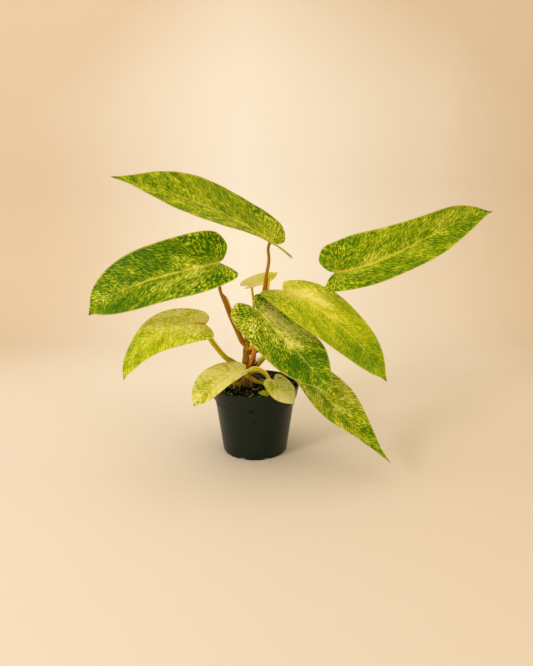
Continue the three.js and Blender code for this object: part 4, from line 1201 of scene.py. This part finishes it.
class PLANT_PG_leaf(bpy.types.PropertyGroup):
    """Form, grids and colours of the blades"""

    thickness: length_setting("Thickness", "Thickness of a blade in its middle", 0.0007)
    looseness: length_setting("Looseness", "How far the blades are off a perfect curve", 0.0005)
    midrib_round: length_setting("Midrib rounding", "How softly the halves meet at the midrib", 0.0012)
    vein_pitch: length_setting("Vein pitch", "Distance between the side veins", 0.0062)
    vein_relief: length_setting("Vein relief", "How far the surface swells between the side veins", 0.00011)
    rib_width: length_setting("Midrib width", "Half width of the pale midrib line", 0.0013)
    streak_width: number_setting("Dash width", "Width of a dash across the veins, in millimetres", 1.558)
    streak_length: number_setting("Dash length", "Length of a dash along the veins, in millimetres", 5.33)
    dash_gain: number_setting("Dashes", "How strongly the dashes show", 0.58)
    patch_gain: number_setting("Patches", "How strongly the patches show", 1.3)
    fleck_gain: number_setting("Flecks", "How strongly the flecks show", 1.2)
    rows: count_setting("Rows", "Veins in the grid of a large blade", 190)
    columns: count_setting("Columns", "Columns in each half of a large blade", 30)
    small_rows: count_setting("Small rows", "Veins in a small blade's grid", 110)
    small_columns: count_setting("Small columns", "Columns in each half of a small blade", 18)
    deep: colour_setting("Deep green", "Darkest green of the markings", 0.048, 0.16, 0.001)
    green: colour_setting("Green", "Dark green of the markings", 0.185, 0.35, 0.002)
    grass: colour_setting("Grass green", "Middle green of the markings", 0.35, 0.5, 0.003)
    lime: colour_setting("Lime", "Yellow-green of the markings", 0.56, 0.66, 0.006)
    yellow: colour_setting("Yellow", "Yellow of the markings", 0.82, 0.85, 0.07)
    cream: colour_setting("Cream", "Palest colour of the markings", 0.98, 0.96, 0.5)
    rib: colour_setting("Midrib", "Colour of the midrib line", 0.86, 0.84, 0.11)
    margin: colour_setting("Margin", "Colour of the thin edge", 0.68, 0.7, 0.09)
    blush: colour_setting("Blush", "Colour of the midrib at the base of some leaves", 0.6, 0.22, 0.03)
    tip: colour_setting("Tip", "Colour of the drying tips", 0.23, 0.085, 0.012)
    # Partly the undersides' own paler green and partly painted light shining through the blade.
    under: colour_setting("Underside", "Colour that the undersides lean to", 0.7, 0.74, 0.28)


class PLANT_PG_stalk(bpy.types.PropertyGroup):
    """Colours of the stalks, stem, roots and sheaths"""

    red: colour_setting("Red stalk", "Skin of the reddish stalks", 0.37, 0.175, 0.002)
    red_wing: colour_setting("Red stalk sheath", "Sheath of the reddish stalks", 0.85, 0.56, 0.09)
    olive: colour_setting("Olive stalk", "Skin of the olive stalks", 0.64, 0.53, 0.01)
    olive_wing: colour_setting("Olive stalk sheath", "Sheath of the olive stalks", 0.95, 0.82, 0.12)
    pale: colour_setting("Pale stalk", "Skin of the pale stalks", 0.62, 0.49, 0.015)
    pale_wing: colour_setting("Pale stalk sheath", "Sheath of the pale stalks", 0.9, 0.77, 0.17)
    foot: colour_setting("Stalk foot", "Colour that a stalk leans to at the stem", 0.33, 0.17, 0.01)
    stem: colour_setting("Stem", "Skin of the stem", 0.3, 0.18, 0.003)
    stem_light: colour_setting("Stem ridges", "Lighter ridges of the stem", 0.7, 0.46, 0.03)
    groove: colour_setting("Stem grooves", "Grooves and scars of the stem", 0.11, 0.055, 0.001)
    root: colour_setting("Roots", "Aerial roots", 0.9, 0.6, 0.3)
    root_dark: colour_setting("Root shade", "Darker parts of the roots", 0.38, 0.22, 0.08)
    cataphyll: colour_setting("Cataphyll", "The sheath round the next leaf", 0.82, 0.25, 0.018)
    cataphyll_edge: colour_setting("Cataphyll tip", "Drying tip of that sheath", 0.92, 0.48, 0.11)
    fibre: colour_setting("Fibres", "Brown fibres of the old sheaths", 0.12, 0.045, 0.006)
    fibre_tip: colour_setting("Fibre tips", "Paler ends of some of the fibres", 0.42, 0.25, 0.09)
    dry: colour_setting("Old sheath", "The old curled sheath", 0.72, 0.6, 0.05)
    dry_edge: colour_setting("Old sheath tip", "Tip of the old sheath", 0.6, 0.45, 0.14)


class PLANT_PG_stage(bpy.types.PropertyGroup):
    """Colours, lamps and camera of the stage"""

    floor_colour: colour_setting("Sweep", "Colour of the floor and the wall behind", 0.735, 0.725, 0.73)
    # Painted light on the middle of the wall.
    wall_painted_light: colour_setting("Wall", "Colour of the middle of the wall", 0.83, 0.89, 0.96)
    wall_shade: colour_setting("Wall sides", "Colour of the wall towards its sides", 0.665, 0.605, 0.535)
    key_power: number_setting("Key", "Power of the small light", 10.0, unit="POWER")
    key_colour: colour_setting("Key colour", "Colour of the small light", 1.0, 0.89, 0.8)
    window_power: number_setting("Window", "Power of the wide light at the left", 2.5, unit="POWER")
    window_colour: colour_setting("Window colour", "Colour of the wide light at the left", 1.0, 0.89, 0.8)
    fill_power: number_setting("Fill", "Power of the light at the right", 2.5, unit="POWER")
    fill_colour: colour_setting("Fill colour", "Colour of the light at the right", 1.0, 0.96, 0.88)
    sky_power: number_setting("Sky", "Power of the wide light overhead", 3.0, unit="POWER")
    sky_colour: colour_setting("Sky colour", "Colour of the wide light overhead", 1.0, 0.95, 0.88)
    air: number_setting("Air", "Strength of the light from all round", 0.92)
    air_colour: colour_setting("Air colour", "Colour of the light from all round", 1.0, 0.725, 0.4)
    lens: number_setting("Lens", "Focal length in millimetres", 29.19)
    camera_tilt: number_setting(
        "Camera tilt", "How far the camera looks down", math.radians(12.7), subtype="ANGLE", unit="ROTATION")
    camera_place: bpy.props.FloatVectorProperty(
        name="Camera place", description="Where the camera stands", default=(0.0137, -0.6096, 0.279),
        size=3, subtype="TRANSLATION", unit="LENGTH")


# Operators

class PLANT_OT_pot(bpy.types.Operator):
    """Make the black nursery pot"""

    bl_idname = "plant.make_pot"
    bl_label = "Pot"

    def execute(self, context):
        pot = context.scene.plant_pot
        make_pot_piece(pot, pot_material(pot))
        return {"FINISHED"}


class PLANT_OT_mix(bpy.types.Operator):
    """Make the potting mix with its bark chips, pale grains and grit"""

    bl_idname = "plant.make_mix"
    bl_label = "Potting mix"

    def execute(self, context):
        mix = context.scene.plant_mix
        make_mix_body(mix_material("mix_crumbs", mix.dark, mix.light, scale=900))
        bark = mix_material("mix_bark", mix.dark, mix.bark, scale=500)
        scatter_lumps("bark_chips", bark, mix.chips, seed=5, size=(0.6, 2.2), flat=0.45, sink=0.35)
        pale = mix_material("mix_grains", toned(mix.perlite, 0.6), mix.perlite, scale=700)
        scatter_lumps("pale_grains", pale, mix.grains, seed=8, size=(0.35, 1.2), flat=0.7, sink=0.2)
        grit = mix_material("mix_grit", toned(mix.grit, 0.4), mix.grit, scale=700)
        scatter_lumps("grey_grit", grit, mix.grits, seed=13, size=(0.5, 1.4), flat=0.7, sink=0.2)
        return {"FINISHED"}


class PLANT_OT_stem(bpy.types.Operator):
    """Make the stem, its aerial roots and the sheaths on it"""

    bl_idname = "plant.make_stem"
    bl_label = "Stem and sheaths"

    def execute(self, context):
        look = context.scene.plant_stalk
        bark = bark_material(look)
        make_stem(bark)
        make_fine_roots(bark)
        make_cataphyll(sheath_material("cataphyll_skin", look.cataphyll, look.cataphyll_edge))
        make_fibres(sheath_material("sheath_fibres", look.fibre, look.fibre_tip))
        make_old_sheath(sheath_material("dry_sheath", look.dry, look.dry_edge))
        return {"FINISHED"}


class PLANT_OT_stalks(bpy.types.Operator):
    """Make the stalk of every leaf"""

    bl_idname = "plant.make_stalks"
    bl_label = "Leaf stalks"

    def execute(self, context):
        look = context.scene.plant_stalk
        materials = {}
        for kind in ("red", "olive", "pale"):
            body, wing = getattr(look, kind), getattr(look, kind + "_wing")
            materials["stalk_" + kind] = stalk_material("stalk_" + kind, body, wing, look.foot)
        for name, leaf in LEAVES.items():
            make_stalk(name, leaf, materials[leaf["stalk_slot"]])
        return {"FINISHED"}


class PLANT_OT_blades(bpy.types.Operator):
    """Make the blade of every leaf"""

    bl_idname = "plant.make_blades"
    bl_label = "Leaf blades"

    def execute(self, context):
        look = context.scene.plant_leaf
        slots = sorted({leaf["leaf_slot"] for leaf in LEAVES.values()})
        materials = {slot: leaf_material(slot, look) for slot in slots}
        for name, leaf in LEAVES.items():
            make_blade(name, leaf, look, materials[leaf["leaf_slot"]])
        return {"FINISHED"}


class PLANT_OT_stage(bpy.types.Operator):
    """Make the pale sweep, the lamps and the camera"""

    bl_idname = "plant.make_stage"
    bl_label = "Stage"

    def execute(self, context):
        scene = context.scene
        stage = scene.plant_stage
        scene.view_settings.view_transform = "Standard"
        scene.world = bpy.data.worlds.new("air")
        scene.world.use_nodes = True
        air = scene.world.node_tree.nodes["Background"]
        air.inputs["Color"].default_value = (*stage.air_colour, 1)
        air.inputs["Strength"].default_value = stage.air
        make_sweep(stage)
        for name, (place, width) in LAMPS.items():
            add_lamp(name, place, width, getattr(stage, name + "_power"), getattr(stage, name + "_colour"))
        make_camera(stage)
        return {"FINISHED"}


class PLANT_PT_panel(bpy.types.Panel):
    """Lists the plant's pieces and their settings"""

    bl_idname = "PLANT_PT_panel"
    bl_label = "Potted philodendron"
    bl_space_type = "VIEW_3D"
    bl_region_type = "UI"
    bl_category = "Plant"

    def draw(self, context):
        for operator, group in STEPS:
            box = self.layout.box()
            box.operator(operator.bl_idname)
            settings = getattr(context.scene, group)
            for key in settings.__annotations__:
                box.prop(settings, key)


GROUPS = {
    "plant_pot": PLANT_PG_pot,
    "plant_mix": PLANT_PG_mix,
    "plant_leaf": PLANT_PG_leaf,
    "plant_stalk": PLANT_PG_stalk,
    "plant_stage": PLANT_PG_stage,
}
STEPS = [
    (PLANT_OT_pot, "plant_pot"),
    (PLANT_OT_mix, "plant_mix"),
    (PLANT_OT_stem, "plant_stalk"),
    (PLANT_OT_stalks, "plant_stalk"),
    (PLANT_OT_blades, "plant_leaf"),
    (PLANT_OT_stage, "plant_stage"),
]
CLASSES = [*GROUPS.values(), *(operator for operator, _ in STEPS), PLANT_PT_panel]


def register():
    for cls in CLASSES:
        bpy.utils.register_class(cls)
    for name, group in GROUPS.items():
        setattr(bpy.types.Scene, name, bpy.props.PointerProperty(type=group))


def unregister():
    for name in GROUPS:
        delattr(bpy.types.Scene, name)
    for cls in reversed(CLASSES):
        bpy.utils.unregister_class(cls)


def main():
    """Makes every piece in order."""
    register()
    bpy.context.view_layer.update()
    for operator, _ in STEPS:
        group, name = operator.bl_idname.split(".")
        getattr(getattr(bpy.ops, group), name)()


if __name__ == "__main__":
    main()
